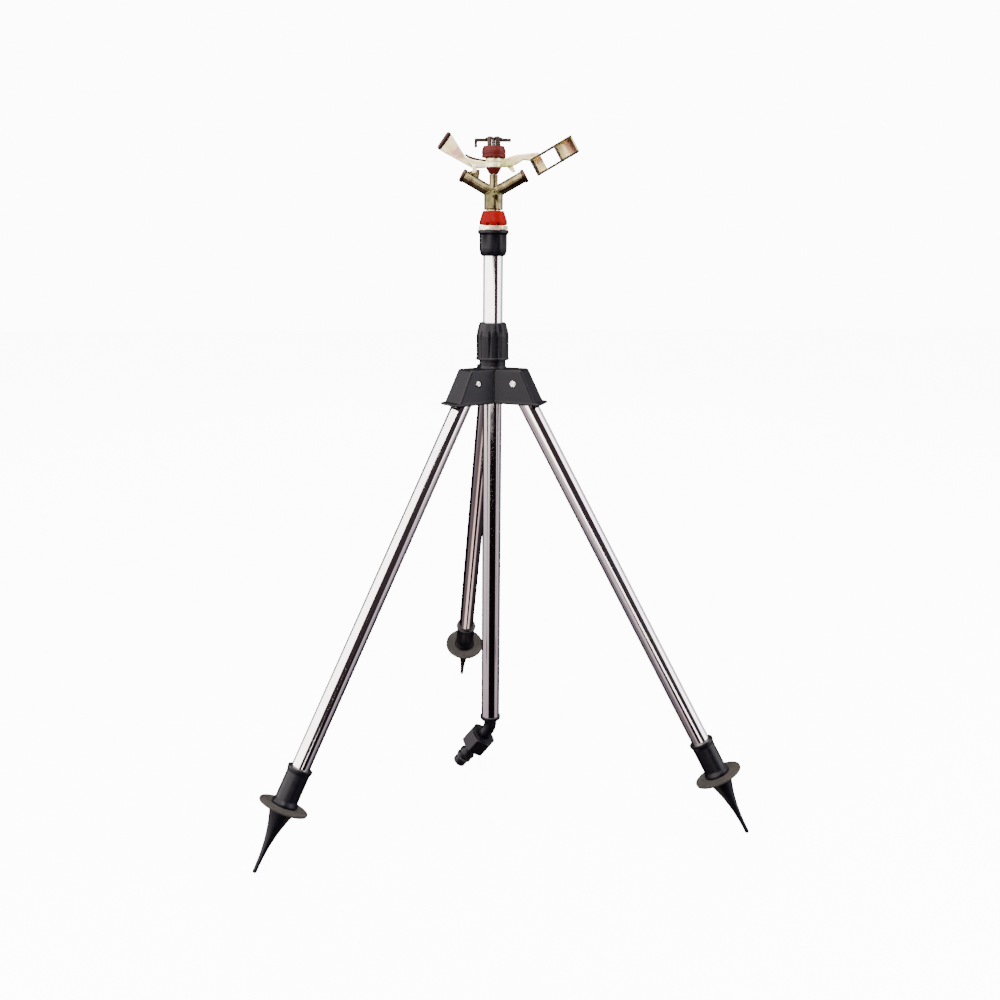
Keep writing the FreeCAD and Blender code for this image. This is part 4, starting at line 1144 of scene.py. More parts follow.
@dataclass
class Riser:
    """Riser tube with the elbow at its foot and the click-on hose adapter."""

    radius: float = 9.5 * MM
    wall: float = 1.0 * MM
    bend_height: float = 62.0 * MM
    drop: float = math.radians(53)
    heading: float = math.radians(150)
    elbow_radius: float = 6.7 * MM
    cup_radius: float = 10.7 * MM
    cup_depth: float = 3.5 * MM
    spigot_radius: float = 8.3 * MM
    spigot: tuple[float, float] = (14.0 * MM, 22.0 * MM)
    nut: tuple[float, float] = (12.5 * MM, 33.0 * MM)
    nut_flats: float = 27.0 * MM
    nose_end: float = 61.0 * MM
    bottom: float = field(init=False)
    top: float = field(init=False)
    outlet: Place = field(init=False)

    def __post_init__(self) -> None:
        """Take the tube's ends from the frame and aim the outlet."""
        low, high = box("riser_tube")
        self.bottom, self.top = low[2], high[2]
        out = (math.cos(self.drop) * math.cos(self.heading), math.cos(self.drop) * math.sin(self.heading),
               -math.sin(self.drop))
        self.outlet = place_along((0, 0, self.bend_height), out, (0, 0, 1))

    def build(self) -> None:
        """Make the riser's pieces."""
        tube = rounded([(self.radius - self.wall, self.bottom), (self.radius, self.bottom),
                        (self.radius, self.top), (self.radius - self.wall, self.top)], 0.3 * MM, 3)
        made = Surface().turned(tube, on_axis(0), 128)
        finished(add_object("riser_tube_shown", made.mesh("riser_tube")), TUBE, "riser",
                 ["riser_tube"])
        self.elbow()
        self.adapter_nut()
        self.hose_nose()
        for node in ("elbow_seal", "adapter_washer", "nose_seal"):
            dress_node(node, RUBBER)

    def elbow(self) -> None:
        """Cup and bend as one swept tube.

        The path runs down the axis, turns on a parabola whose middle control point is the bend,
        and leaves along the outlet; the radius at each point is read off a profile of distance.
        """
        out = self.outlet.axes[2]
        bend = self.outlet.origin
        lip_top = self.bottom + self.cup_depth
        reach = 7.0 * MM
        drops = np.array([0, 0.3, 0.6, 3.2, 3.9, 4.4, 5.4, 7.4, 8.4]) * MM
        radii = np.array([9.6, 10.3, 10.7, 10.7, 10.5, 10.0, 8.4, 6.9, 6.7]) * MM
        fall = np.stack([0 * drops, 0 * drops, lip_top - drops], 1)
        t = np.linspace(0, 1, 16)[1:, None]
        enter = bend + np.array([0, 0, 1.0]) * reach * 0.85
        turn = (1 - t) ** 2 * enter + 2 * t * (1 - t) * bend + t ** 2 * (bend + out * reach)
        leave = np.linspace(reach + 0.8 * MM, self.spigot[0], 5)[:, None] * out + bend
        path = np.concatenate([fall, turn, leave])
        radius = np.concatenate([radii, np.full(len(turn) + len(leave), self.elbow_radius)])
        normal = np.cross(out, (0, 0, 1))
        made = Surface().tube(path, radius, unit(normal), 64)
        spigot = rounded([(self.elbow_radius - 2 * MM, self.spigot[0]), (self.spigot_radius, self.spigot[0]),
                          (self.spigot_radius, self.spigot[1]), (4.8 * MM, self.spigot[1]),
                          (4.8 * MM, self.spigot[0])], 0.3 * MM, 4)
        made.turned(spigot, self.outlet, 64)
        insert = rounded([(4.8 * MM, self.bottom), (self.radius - self.wall, self.bottom),
                          (self.radius - self.wall, self.bottom + 16 * MM),
                          (4.8 * MM, self.bottom + 16 * MM)],
                         0.4 * MM, 4)
        made.turned(insert, on_axis(0), 64)
        finished(add_object("elbow_shown", made.mesh("elbow")), CHARCOAL, "riser",
                 ["inlet_elbow"])

    def adapter_nut(self) -> None:
        """Union nut: chamfered hexagon between a plain collar at each end."""
        start, end = self.nut
        ring = hexagon_ring(6.8 * MM, self.nut_flats, start + 1.2 * MM, end - 1.2 * MM, 0.8 * MM)
        made = Surface().grid(self.outlet.out(ring), (True, True))
        collar = self.nut_flats / 2 - 1.8 * MM
        for low, high in ((start, start + 4 * MM), (end - 4 * MM, end)):
            outline = rounded([(6.8 * MM, low), (collar, low), (collar, high), (6.8 * MM, high)], 0.6 * MM, 5)
            made.turned(outline, self.outlet, 72)
        finished(add_object("adapter_nut_shown", made.mesh("adapter_nut")), CHARCOAL, "riser",
                 ["adapter_nut"])

    def hose_nose(self) -> None:
        """Click-on nose: waist, catch collar, body, seal groove and lead-in with its bore."""
        end = self.nose_end
        outline = rounded([
            (4.75 * MM, 24 * MM), (8.0 * MM, 24 * MM), (8.0 * MM, 26.9 * MM), (6.5 * MM, 26.9 * MM),
            (6.5 * MM, end - 20 * MM), (8.6 * MM, end - 17 * MM), (8.6 * MM, end - 15.5 * MM),
            (7.9 * MM, end - 14 * MM), (7.9 * MM, end - 11 * MM), (6.0 * MM, end - 11 * MM),
            (6.0 * MM, end - 8.4 * MM), (7.1 * MM, end - 8.4 * MM), (7.1 * MM, end), (4.75 * MM, end)],
            0.4 * MM, 5)
        made = Surface().turned(outline, self.outlet, 80)
        finished(add_object("hose_nose_shown", made.mesh("hose_nose")), CHARCOAL, "riser",
                 ["hose_nose"])


@dataclass
class SwivelBase:
    """Top cup, hexagonal base, bearing and the flared sand collar."""

    cup_radius: float = 13.35 * MM
    flange: float = 14.7 * MM
    thread: float = 10.45 * MM
    riser: float = 9.5 * MM
    hex_flats: float = 25.2 * MM
    hex_height: float = 4.0 * MM
    bearing: float = 6.0 * MM
    collar_radius: float = 13.2 * MM
    collar_neck: float = 9.9 * MM
    notch: float = 1.9 * MM

    def build(self) -> None:
        """Make the cup, the base and the collar, and dress what lies inside."""
        self.cup()
        low, high = box("inlet_base")
        ring = hexagon_ring(6.1 * MM, self.hex_flats, high[2] - self.hex_height, high[2], 0.5 * MM)
        square = place_along((0, 0, 0), (0, 0, 1), (math.cos(math.pi / 6), math.sin(math.pi / 6), 0))
        turned = Surface().grid(square.out(ring), (True, True))
        neck = rounded([(8.6 * MM, low[2] + 0.2 * MM), (self.thread, low[2] + 0.2 * MM),
                        (self.thread, high[2] - 4 * MM), (8.6 * MM, high[2] - 4 * MM)], 0.3 * MM, 4)
        turned.turned(neck, on_axis(0), 72)
        finished(add_object("inlet_base_shown", turned.mesh("inlet_base")), BASE_ZINC, "riser",
                 ["inlet_base"])
        dress_node("bearing_washer", NYLON)
        dress_node("cup_washer", RUBBER)
        dress_node("thrust_washer", NYLON)
        dress_node("swivel_tube", BRASS)
        self.spring()
        self.collar()

    def cup(self) -> None:
        """Cup with a stepped flange; its side carries eight soft flats.

        The radius loses depth (1 + cos 8a) / 2 between the rounded foot and the flange.
        """
        low, high = box("top_cup")
        bottom, top = low[2], high[2]
        outline = rounded([
            (self.riser + 0.05 * MM, bottom), (self.cup_radius - 2.8 * MM, bottom),
            (self.cup_radius - 1.3 * MM, bottom + 1.4 * MM), (self.cup_radius - 0.3 * MM, bottom + 4 * MM),
            (self.cup_radius, bottom + 7 * MM), (self.cup_radius, top - 4 * MM),
            (self.flange, top - 2.9 * MM), (self.flange, top), (self.thread, top),
            (self.thread, bottom + 12 * MM), (self.riser + 0.05 * MM, bottom + 12 * MM)], 0.5 * MM, 5)
        angle = np.linspace(0, TURN, 160, endpoint=False)[:, None]
        r, z = outline.T
        level = (z - bottom) / (top - bottom)
        weight = np.clip((level - 0.06) / 0.1, 0, 1) * np.clip((0.84 - level) / 0.03, 0, 1) * (r > 11 * MM)
        shaped = r - 0.45 * MM * weight * (1 + np.cos(8 * angle)) / 2
        local = np.stack([shaped * np.cos(angle), shaped * np.sin(angle),
                          np.broadcast_to(z, shaped.shape)], -1)
        finished(add_object("top_cup_shown", Surface().grid(local, (True, True)).mesh("top_cup")), CHARCOAL,
                 "riser", ["top_cup"])

    def spring(self) -> None:
        """Bearing spring: a round wire on a helix."""
        low, high = box("bearing_spring")
        coil = helix(7.2 * MM, low[2] + 0.6 * MM, high[2] - 0.6 * MM, 4.5)
        made = Surface().tube(coil, 0.55 * MM, (0, 0, 1), 12)
        finished(add_object("bearing_spring_shown", made.mesh("bearing_spring")), SPRING_WIRE, "head",
                 ["bearing_spring"])

    def collar(self) -> None:
        """Sand collar: a flared skirt whose lower edge rises in eight round notches.

        At angle a the lower edge stands higher by the notch depth times 2 cos(8a + pi) - 0.9,
        held between 0 and 1, and the lift fades out 3 mm up the skirt.
        """
        low, high = box("sand_collar")
        bottom, top = low[2], high[2]
        outline = rounded([
            (self.bearing + 3 * MM, bottom), (self.collar_radius - 0.8 * MM, bottom),
            (self.collar_radius, bottom + 0.9 * MM), (self.collar_radius, bottom + 3.4 * MM),
            (self.collar_neck + 0.7 * MM, top - 2.4 * MM), (self.collar_neck, top - 1.2 * MM),
            (self.collar_neck, top - 0.8 * MM), (self.bearing, top - 0.8 * MM),
            (self.bearing, top - 1.6 * MM),
            (self.bearing + 3 * MM, top - 1.6 * MM)], 0.4 * MM, 5)
        angle = np.linspace(0, TURN, 192, endpoint=False)[:, None]
        r, z = outline.T
        near = np.clip((bottom + 3 * MM - z) / (3 * MM), 0, 1) * (r > self.bearing + 3.5 * MM)
        lift = self.notch * np.clip(np.cos(8 * angle + math.pi) * 2 - 0.9, 0, 1) * near
        height = np.broadcast_to(z, lift.shape) + lift
        local = np.stack([r * np.cos(angle), r * np.sin(angle), height], -1)
        made = Surface().grid(head_place().out(local), (True, True))
        finished(add_object("sand_collar_shown", made.mesh("sand_collar")), RED, "head",
                 ["sand_collar"])


def helix(radius: float, low: float, high: float, turns: float, steps: int = 40) -> Array:
    """Points on a helix about the riser's axis: (r cos t, r sin t, low + (high - low) t / end)."""
    t = np.linspace(0, turns * TURN, int(turns * steps))
    return np.stack([radius * np.cos(t), radius * np.sin(t), low + (high - low) * t / t[-1]], 1)


# ---------------------------------------------------------------- head

def upright(place: Place, lateral: float = 0.0) -> Place:
    """The place whose X and Y are a head place's X and height, set off sideways along the old Y."""
    axes = place.axes
    return Place(place.origin + axes[1] * lateral, np.stack([axes[0], axes[2], -axes[1]]))


@dataclass
class Rotor:
    """Rotor body with two raised barrels, their nozzles, the arm's post and the arm's stop."""

    body_radius: float = 8.95 * MM
    crossing: float = 611.0 * MM
    top: float = 612.0 * MM
    rise: float = math.radians(29)
    barrel_radius: float = 5.35 * MM
    barrel_bore: float = 4.3 * MM
    barrel_length: float = 31.0 * MM
    rim: float = 6.35 * MM
    rim_end: float = 34.4 * MM
    post_radius: float = 4.0 * MM
    post_top: float = 628.2 * MM
    orifices: tuple[float, float] = (2.1 * MM, 1.6 * MM)
    stop: tuple[tuple[float, float], ...] = ((-24.2, 630.0), (-13.4, 631.9), (-14.8, 622.2), (-21.8, 624.2))
    stop_half: float = 1.3 * MM
    head: Place = field(default_factory=head_place)

    def barrel(self, side: int) -> Place:
        """Place at the barrels' crossing, with Z out along one barrel.

        Args:
            side: 1 for the front barrel, -1 for the rear one.

        Returns:
            The place.
        """
        x, y, z = self.head.axes
        out = side * math.cos(self.rise) * x + math.sin(self.rise) * z
        return place_along((0, 0, self.crossing), out, y)

    def build(self) -> None:
        """Make the cast body and its two nozzles."""
        low, _ = box("rotor_body")
        bottom = low[2]
        body = rounded([(0, bottom), (self.body_radius, bottom), (self.body_radius, self.top - 2 * MM),
                        (self.body_radius - 2.4 * MM, self.top + 0.5 * MM), (0, self.top + 0.5 * MM)],
                       0.8 * MM, 5, False)
        made = Surface().turned(body, self.head, 72, closed=False)
        post = rounded([(0, self.top - 2 * MM), (self.post_radius + 0.6 * MM, self.top - 2 * MM),
                        (self.post_radius, self.top + 7 * MM), (self.post_radius, self.post_top),
                        (0, self.post_top)], 0.3 * MM, 4, False)
        made.turned(post, self.head, 48, closed=False)
        drop = rounded([(0, bottom), (self.post_radius + 2 * MM, bottom),
                        (self.post_radius + 2 * MM, bottom + 3 * MM),
                        (self.post_radius - 1 * MM, self.top + 2 * MM), (0, self.top + 3.5 * MM)],
                       1.2 * MM, 5, False)
        made.turned(drop, self.head.shifted((0, -self.post_radius - 0.6 * MM, 0)), 48, closed=False)
        for side in (1, -1):
            wall = rounded([(0, 0), (self.barrel_radius, 0), (self.barrel_radius, self.barrel_length),
                            (self.barrel_bore, self.barrel_length), (self.barrel_bore, 14 * MM),
                            (0, 14 * MM)],
                           0.3 * MM, 4, False)
            made.turned(wall, self.barrel(side), 56, closed=False)
        made.prism(rounded(np.array(self.stop) * MM, 0.5 * MM), -self.stop_half, self.stop_half,
                   upright(self.head), 0.4 * MM)
        piece = add_object("rotor_shown", made.mesh("rotor"))
        cast_together(piece, 0.27 * MM, 5)
        finished(piece, CASTING, "head", ["rotor_body"], 60)
        for side, orifice, name in zip((1, -1), self.orifices, ("front", "rear")):
            self.nozzle(side, orifice, name)
        self.stop_edges()
        self.pin()

    def stop_edges(self) -> None:
        """Dark beads of painted shade along both edges of the arm's stop: a round wire round its outline."""
        made = Surface()
        outline = rounded(np.array(self.stop) * MM, 0.8 * MM, 4)
        flat = np.stack([outline[:, 0], outline[:, 1], np.zeros(len(outline))], 1)
        for lateral in (-self.stop_half, self.stop_half):
            made.tube(upright(self.head, lateral).out(flat), 0.55 * MM, self.head.axes[1], 12, closed=True)
        finished(add_object("stop_edges_shown", made.mesh("stop_edges")), SHADE_METAL, "head")

    def nozzle(self, side: int, orifice: float, name: str) -> None:
        """Rimmed nozzle: sleeve in the barrel, beaded rim and a tapering mouth.

        Args:
            side: 1 for the front barrel, -1 for the rear one.
            orifice: Radius of its mouth.
            name: Which nozzle it is.
        """
        outline = rounded([
            (self.barrel_bore - 1 * MM, 18 * MM), (self.barrel_bore - 0.1 * MM, 18 * MM),
            (self.barrel_bore - 0.1 * MM, self.barrel_length), (self.rim - 0.5 * MM, self.barrel_length),
            (self.rim, self.barrel_length + 0.8 * MM), (self.rim, self.rim_end - 0.9 * MM),
            (self.rim - 0.8 * MM, self.rim_end), (orifice + 1 * MM, self.rim_end),
            (orifice, self.rim_end - 1 * MM), (orifice, self.barrel_length - 3 * MM)], 0.25 * MM, 4)
        made = Surface().turned(outline, self.barrel(side), 56)
        finished(add_object(f"{name}_nozzle_shown", made.mesh(f"{name}_nozzle")), BRONZE, "head",
                 [f"{name}_nozzle"])

    def pin(self) -> None:
        """Pivot pin with a chamfered top, and its hexagonal lock nut."""
        low, high = box("pivot_shaft")
        outline = rounded([(0, low[2]), (1.55 * MM, low[2]), (1.55 * MM, high[2] - 0.5 * MM),
                           (1.1 * MM, high[2]), (0, high[2])], 0.15 * MM, 3, False)
        made = Surface().turned(outline, self.head, 32, closed=False)
        finished(add_object("pivot_shaft_shown", made.mesh("pivot_shaft")), BRIGHT, "head",
                 ["pivot_shaft"])
        low, high = box("shaft_nut")
        ring = hexagon_ring(1.6 * MM, 8.6 * MM, low[2], high[2], 0.25 * MM)
        nut = Surface().grid(self.head.out(ring), (True, True))
        finished(add_object("shaft_nut_shown", nut.mesh("shaft_nut")), BRIGHT, "head",
                 ["shaft_nut"])
        low, high = box("arm_spring")
        coil = helix(6.0 * MM, low[2] + 0.55 * MM, high[2] - 0.55 * MM, 5.5)
        wire = Surface().tube(coil, 0.5 * MM, (0, 0, 1), 12)
        finished(add_object("arm_spring_shown", wire.mesh("arm_spring")), SPRING_WIRE, "head",
                 ["arm_spring"])


@dataclass
class RockerArm:
    """Cast arm: hub, drive frame with its vane on one side and the weighted paddle on the other."""

    hub_radius: float = 7.7 * MM
    bottom: float = 634.2 * MM
    top: float = 642.6 * MM
    corner: tuple[float, float] = (41.6 * MM, 627.1 * MM)
    slope: float = math.radians(30)
    length: float = 43.5 * MM
    width: float = 16.3 * MM
    half: float = 6.5 * MM
    skin: float = 1.5 * MM
    web_end: float = 11.0 * MM
    divider: float = 25.2 * MM
    sleeve: float = 3.0 * MM
    head: Place = field(default_factory=head_place)
    frame: Place = field(init=False)

    def __post_init__(self) -> None:
        """Set the drive frame's corner and slope."""
        x, y, z = self.head.axes
        along = math.cos(self.slope) * x + math.sin(self.slope) * z
        up = math.cos(self.slope) * z - math.sin(self.slope) * x
        self.frame = Place(self.corner[0] * x + self.corner[1] * z, np.stack([along, y, up]))

    def build(self) -> None:
        """Make the casting, the vane and the bush."""
        self.casting()
        self.drive_frame()
        self.lip_and_shade_strip()
        self.vane()
        self.bush()

    def plate(self, made: Surface, outline: Sequence[Sequence[float]], half: float, soft: float,
              ease: float, lateral: float = 0.0) -> None:
        """Add a plate of the arm to a surface, with all lengths in millimetres.

        Args:
            made: The surface.
            outline: Corners (x, height) in the head's upright plane.
            half: Half the plate's thickness.
            soft: Easing of the outline's corners.
            ease: Easing of the plate's edges.
            lateral: How far the plate stands off the head's upright plane.
        """
        eased = rounded(np.array(outline) * MM, soft * MM)
        made.prism(eased, -half * MM, half * MM, upright(self.head, lateral * MM), ease * MM)

    def casting(self) -> None:
        """Overlapping plates, bars and the hub, grown into one cast skin."""
        made = Surface()
        groove = self.bottom + 3.6 * MM
        hub = rounded([
            (self.sleeve, self.bottom), (self.hub_radius, self.bottom), (self.hub_radius, groove),
            (self.hub_radius - 0.9 * MM, groove + 0.5 * MM), (self.hub_radius - 0.9 * MM, groove + 1.3 * MM),
            (self.hub_radius, groove + 1.8 * MM), (self.hub_radius, self.top), (self.sleeve, self.top)],
            0.45 * MM, 4)
        made.turned(hub, self.head, 72)
        self.plate(made, [(5, 634.5), (5, 642.6), (11.8, 642.6), (19.3, 645.5), (41.1, 648), (43.5, 645.7),
                          (34, 640.4), (27.8, 641.2), (20.4, 636.7), (14, 634.8)], 3.0, 0.9, 0.8)
        self.plate(made, [(11, 640), (17.6, 637), (20.6, 630.3), (17.8, 630.1), (13.2, 634)], 1.5, 0.7, 0.5)
        self.plate(made, [(-6, 634.4), (-18.8, 633), (-50.1, 649), (-39.3, 663.5), (-26.3, 643.4),
                          (-17.9, 640.8), (-6, 639.4)], 1.2, 1.0, 0.5)
        self.plate(made, [(-5, 634.4), (-17, 633.2), (-24, 638), (-26.3, 643.4), (-17.9, 640.8),
                          (-5, 639.4)], 3.0, 1.2, 0.9)
        self.plate(made, [(-20, 629.1), (-16, 629.1), (-16, 636), (-20, 636)], 1.5, 0.5, 0.4, -2.9)
        piece = add_object("rocker_arm_shown", made.mesh("rocker_arm"))
        cast_together(piece, 0.28 * MM, 4)
        finished(piece, ZINC, "rocker_arm", ["rocker_arm"], 60)

    def drive_frame(self) -> None:
        """Open frame of four sheets: floor, roof, divider and the web across its near end."""
        edge = Place(self.frame.origin,
                     np.stack([self.frame.axes[0], self.frame.axes[2], -self.frame.axes[1]]))
        made = Surface()
        rise = self.width - self.skin
        ease = 0.3 * MM
        rows = [((0, 0), (self.length, self.skin), -self.half, self.half),
                ((0, rise), (self.length, self.width), -self.half, self.half),
                ((self.divider, ease), (self.divider + self.skin, self.width - ease), -self.half, self.half),
                ((0, ease), (3 * MM, self.width - ease), -self.half, 0.0)]
        for low, high, back, front in rows:
            outline = [(low[0], low[1]), (high[0], low[1]), (high[0], high[1]), (low[0], high[1])]
            made.prism(rounded(outline, ease, 4), back + 0.02 * MM, front - 0.02 * MM, edge, ease)
        # The frame's sheets carry strips of painted shade along their edges.
        finished(add_object("drive_frame_shown", made.mesh("drive_frame")), SHADED_EDGE_SHEET, "rocker_arm")
        web = [(0.2 * MM, ease), (self.web_end, ease), (self.web_end, self.width - ease),
               (0.2 * MM, self.width - ease)]
        plate = Surface().prism(rounded(web, ease, 4), -self.half + 0.1 * MM, -self.half + 2.0 * MM,
                                edge, ease)
        finished(add_object("frame_web_shown", plate.mesh("frame_web")), ZINC, "rocker_arm")

    def lip_and_shade_strip(self) -> None:
        """Rolled lip along the paddle's end and a dark strip along the arm's upper edge, both near black: the
        strip is painted shade laid over the arm, and the lip's dark colour is painted shade.
        """
        x, y, z = self.head.axes
        ends = [x * u * MM + z * v * MM for u, v in ((-51.6, 650.0), (-40.8, 665.0))]
        path = ends[0] + np.linspace(0.01, 0.99, 12)[:, None] * (ends[1] - ends[0])
        swell = 2.45 * MM * (1 - np.abs(np.linspace(-1, 1, 12)) ** 8 * 0.3)
        made = Surface().tube(path, swell, y, 24)
        part = np.linspace(0, 1, 24)[:, None]
        # Dark strip of painted shade along the arm's upper edge.
        knots = ((-26.6, 645.8), (-20.3, 640.3), (-6.3, 640.6))
        start, bend, end = (x * u * MM + z * v * MM for u, v in knots)
        painted_shade_path = (1 - part) ** 2 * start + 2 * part * (1 - part) * bend + part ** 2 * end
        made.tube(painted_shade_path, 0.4 * MM + 1.05 * MM * np.sin(math.pi * (0.12 + 0.76 * part[:, 0])), y, 20)
        finished(add_object("arm_lip_and_shade_shown", made.mesh("arm_lip_and_shade")), SHADE_METAL, "rocker_arm")

    def vane(self) -> None:
        """Deflector vane: a flat strip that ends in a quarter circle across the frame.

        Along the frame first, then at angle a from the bend's centre the strip stands at
        (x + r sin a, y + r cos a).
        """
        outer = self.half * 2 - 1 * MM
        middle = outer - self.skin / 2
        begin = self.divider + self.skin
        knee = self.length - outer
        straight = np.linspace(begin, knee, 4, endpoint=False)
        first = np.stack([straight, np.full(4, self.half - self.skin / 2), np.full(4, self.width / 2)], 1)
        bend = np.linspace(0, math.pi / 2, 24)
        centre = self.half - outer
        second = np.stack([knee + middle * np.sin(bend), centre + middle * np.cos(bend),
                           np.full(24, self.width / 2)], 1)
        path = self.frame.out(np.concatenate([first, second]))
        made = Surface().strip(path, self.width - 2 * self.skin, self.skin, self.frame.axes[2])
        finished(add_object("deflector_vane_shown", made.mesh("vane")), VANE, "rocker_arm",
                 ["deflector_vane"])

    def bush(self) -> None:
        """Bush with a cone that rides on the post."""
        low, high = box("arm_bush")
        outline = rounded([(1.7 * MM, low[2]), (4.0 * MM, low[2]), (7.0 * MM, self.bottom - 0.9 * MM),
                           (7.0 * MM, self.bottom), (2.95 * MM, self.bottom), (2.95 * MM, high[2]),
                           (1.7 * MM, high[2])], 0.35 * MM, 4)
        made = Surface().turned(outline, self.head, 64)
        finished(add_object("arm_bush_shown", made.mesh("arm_bush")), DARK_RED, "rocker_arm",
                 ["arm_bush"])


@dataclass
class TensionCrown:
    """Spring cap and the fingered crown above it."""

    cap_radius: float = 11.2 * MM
    cap_wall: float = 1.5 * MM
    hub: float = 3.2 * MM
    crown_radius: float = 8.3 * MM
    crown_bottom: float = 658.7 * MM
    crown_top: float = 660.5 * MM
    finger_half: float = 1.9 * MM
    head: Place = field(default_factory=head_place)

    def build(self) -> None:
        """Make the cap and the crown."""
        self.cap()
        self.crown()

    def cap(self) -> None:
        """Spring cap: a turned cup with a chamfered shoulder and a fine groove near its foot."""
        low, high = box("spring_cap")
        bottom, top = low[2], high[2]
        outline = rounded([
            (1.65 * MM, bottom), (self.hub, bottom), (self.hub, top - self.cap_wall),
            (self.cap_radius - self.cap_wall, top - self.cap_wall - 1 * MM),
            (self.cap_radius - self.cap_wall, bottom), (self.cap_radius, bottom),
            (self.cap_radius, bottom + 2.0 * MM), (self.cap_radius - 0.35 * MM, bottom + 2.3 * MM),
            (self.cap_radius - 0.35 * MM, bottom + 2.9 * MM), (self.cap_radius, bottom + 3.2 * MM),
            (self.cap_radius, top - 4 * MM), (self.cap_radius - 1.5 * MM, top), (1.65 * MM, top)],
            0.4 * MM, 5)
        made = Surface().turned(outline, self.head, 96)
        finished(add_object("spring_cap_shown", made.mesh("spring_cap")), DARK_RED, "tension_crown",
                 ["spring_cap"])

    def crown(self) -> None:
        """Crown: ring, four legs with raised peaks, a straight finger and a hooked one."""
        cap = box("spring_cap")[1][2]
        ring = rounded([(1.65 * MM, self.crown_bottom), (self.crown_radius, self.crown_bottom),
                        (self.crown_radius, self.crown_top), (1.65 * MM, self.crown_top)], 0.4 * MM, 4)
        made = Surface().turned(ring, self.head, 64)
        wide = self.finger_half
        x, y, z = self.head.axes
        for turn in np.radians([60, 120, 240, 300]):
            out = math.cos(turn) * x + math.sin(turn) * y
            place = Place(np.zeros(3), np.stack([out, z, np.cross(out, z)]))
            self.bar(made, place, (self.crown_radius - 1.2 * MM, cap), (self.crown_radius + 0.8 * MM,
                     self.crown_top), wide)
            self.bar(made, place, (self.crown_radius - 3 * MM, self.crown_bottom),
                     (self.crown_radius + 0.2 * MM, self.crown_bottom + 2.6 * MM), wide)
        for out, reach in ((x, 16 * MM), (-x, 18 * MM)):
            place = Place(np.zeros(3), np.stack([out, z, np.cross(out, z)]))
            self.bar(made, place, (6 * MM, self.crown_bottom - 1.6 * MM),
                     (reach, self.crown_bottom + 1.2 * MM), wide)
        place = Place(np.zeros(3), np.stack([-x, z, np.cross(-x, z)]))
        self.bar(made, place, (15.5 * MM, self.crown_bottom - 6.8 * MM),
                 (18 * MM, self.crown_bottom + 0.4 * MM), wide)
        piece = add_object("tension_crown_shown", made.mesh("tension_crown"))
        cast_together(piece, 0.2 * MM, 4)
        finished(piece, DARK_METAL, "tension_crown", ["tension_crown"], 60)

    def bar(self, made: Surface, place: Place, low: Sequence[float], high: Sequence[float],
            half: float) -> None:
        """Add an eased block to a surface.

        Args:
            made: The surface.
            place: Where the block stands.
            low: Lowest X and Y.
            high: Highest X and Y.
            half: Half its width along Z.
        """
        outline = rounded([(low[0], low[1]), (high[0], low[1]), (high[0], high[1]), (low[0], high[1])],
                          0.35 * MM, 4)
        made.prism(outline, -half, half, place, 0.35 * MM)


# ---------------------------------------------------------------- studio

@dataclass(frozen=True)
class Lamp:
    """A square area lamp: its place, its width, its power in watts, and whether reflections show it."""

    name: str
    spot: tuple[float, float, float]
    size: float
    power: float
    mirrored: bool = False


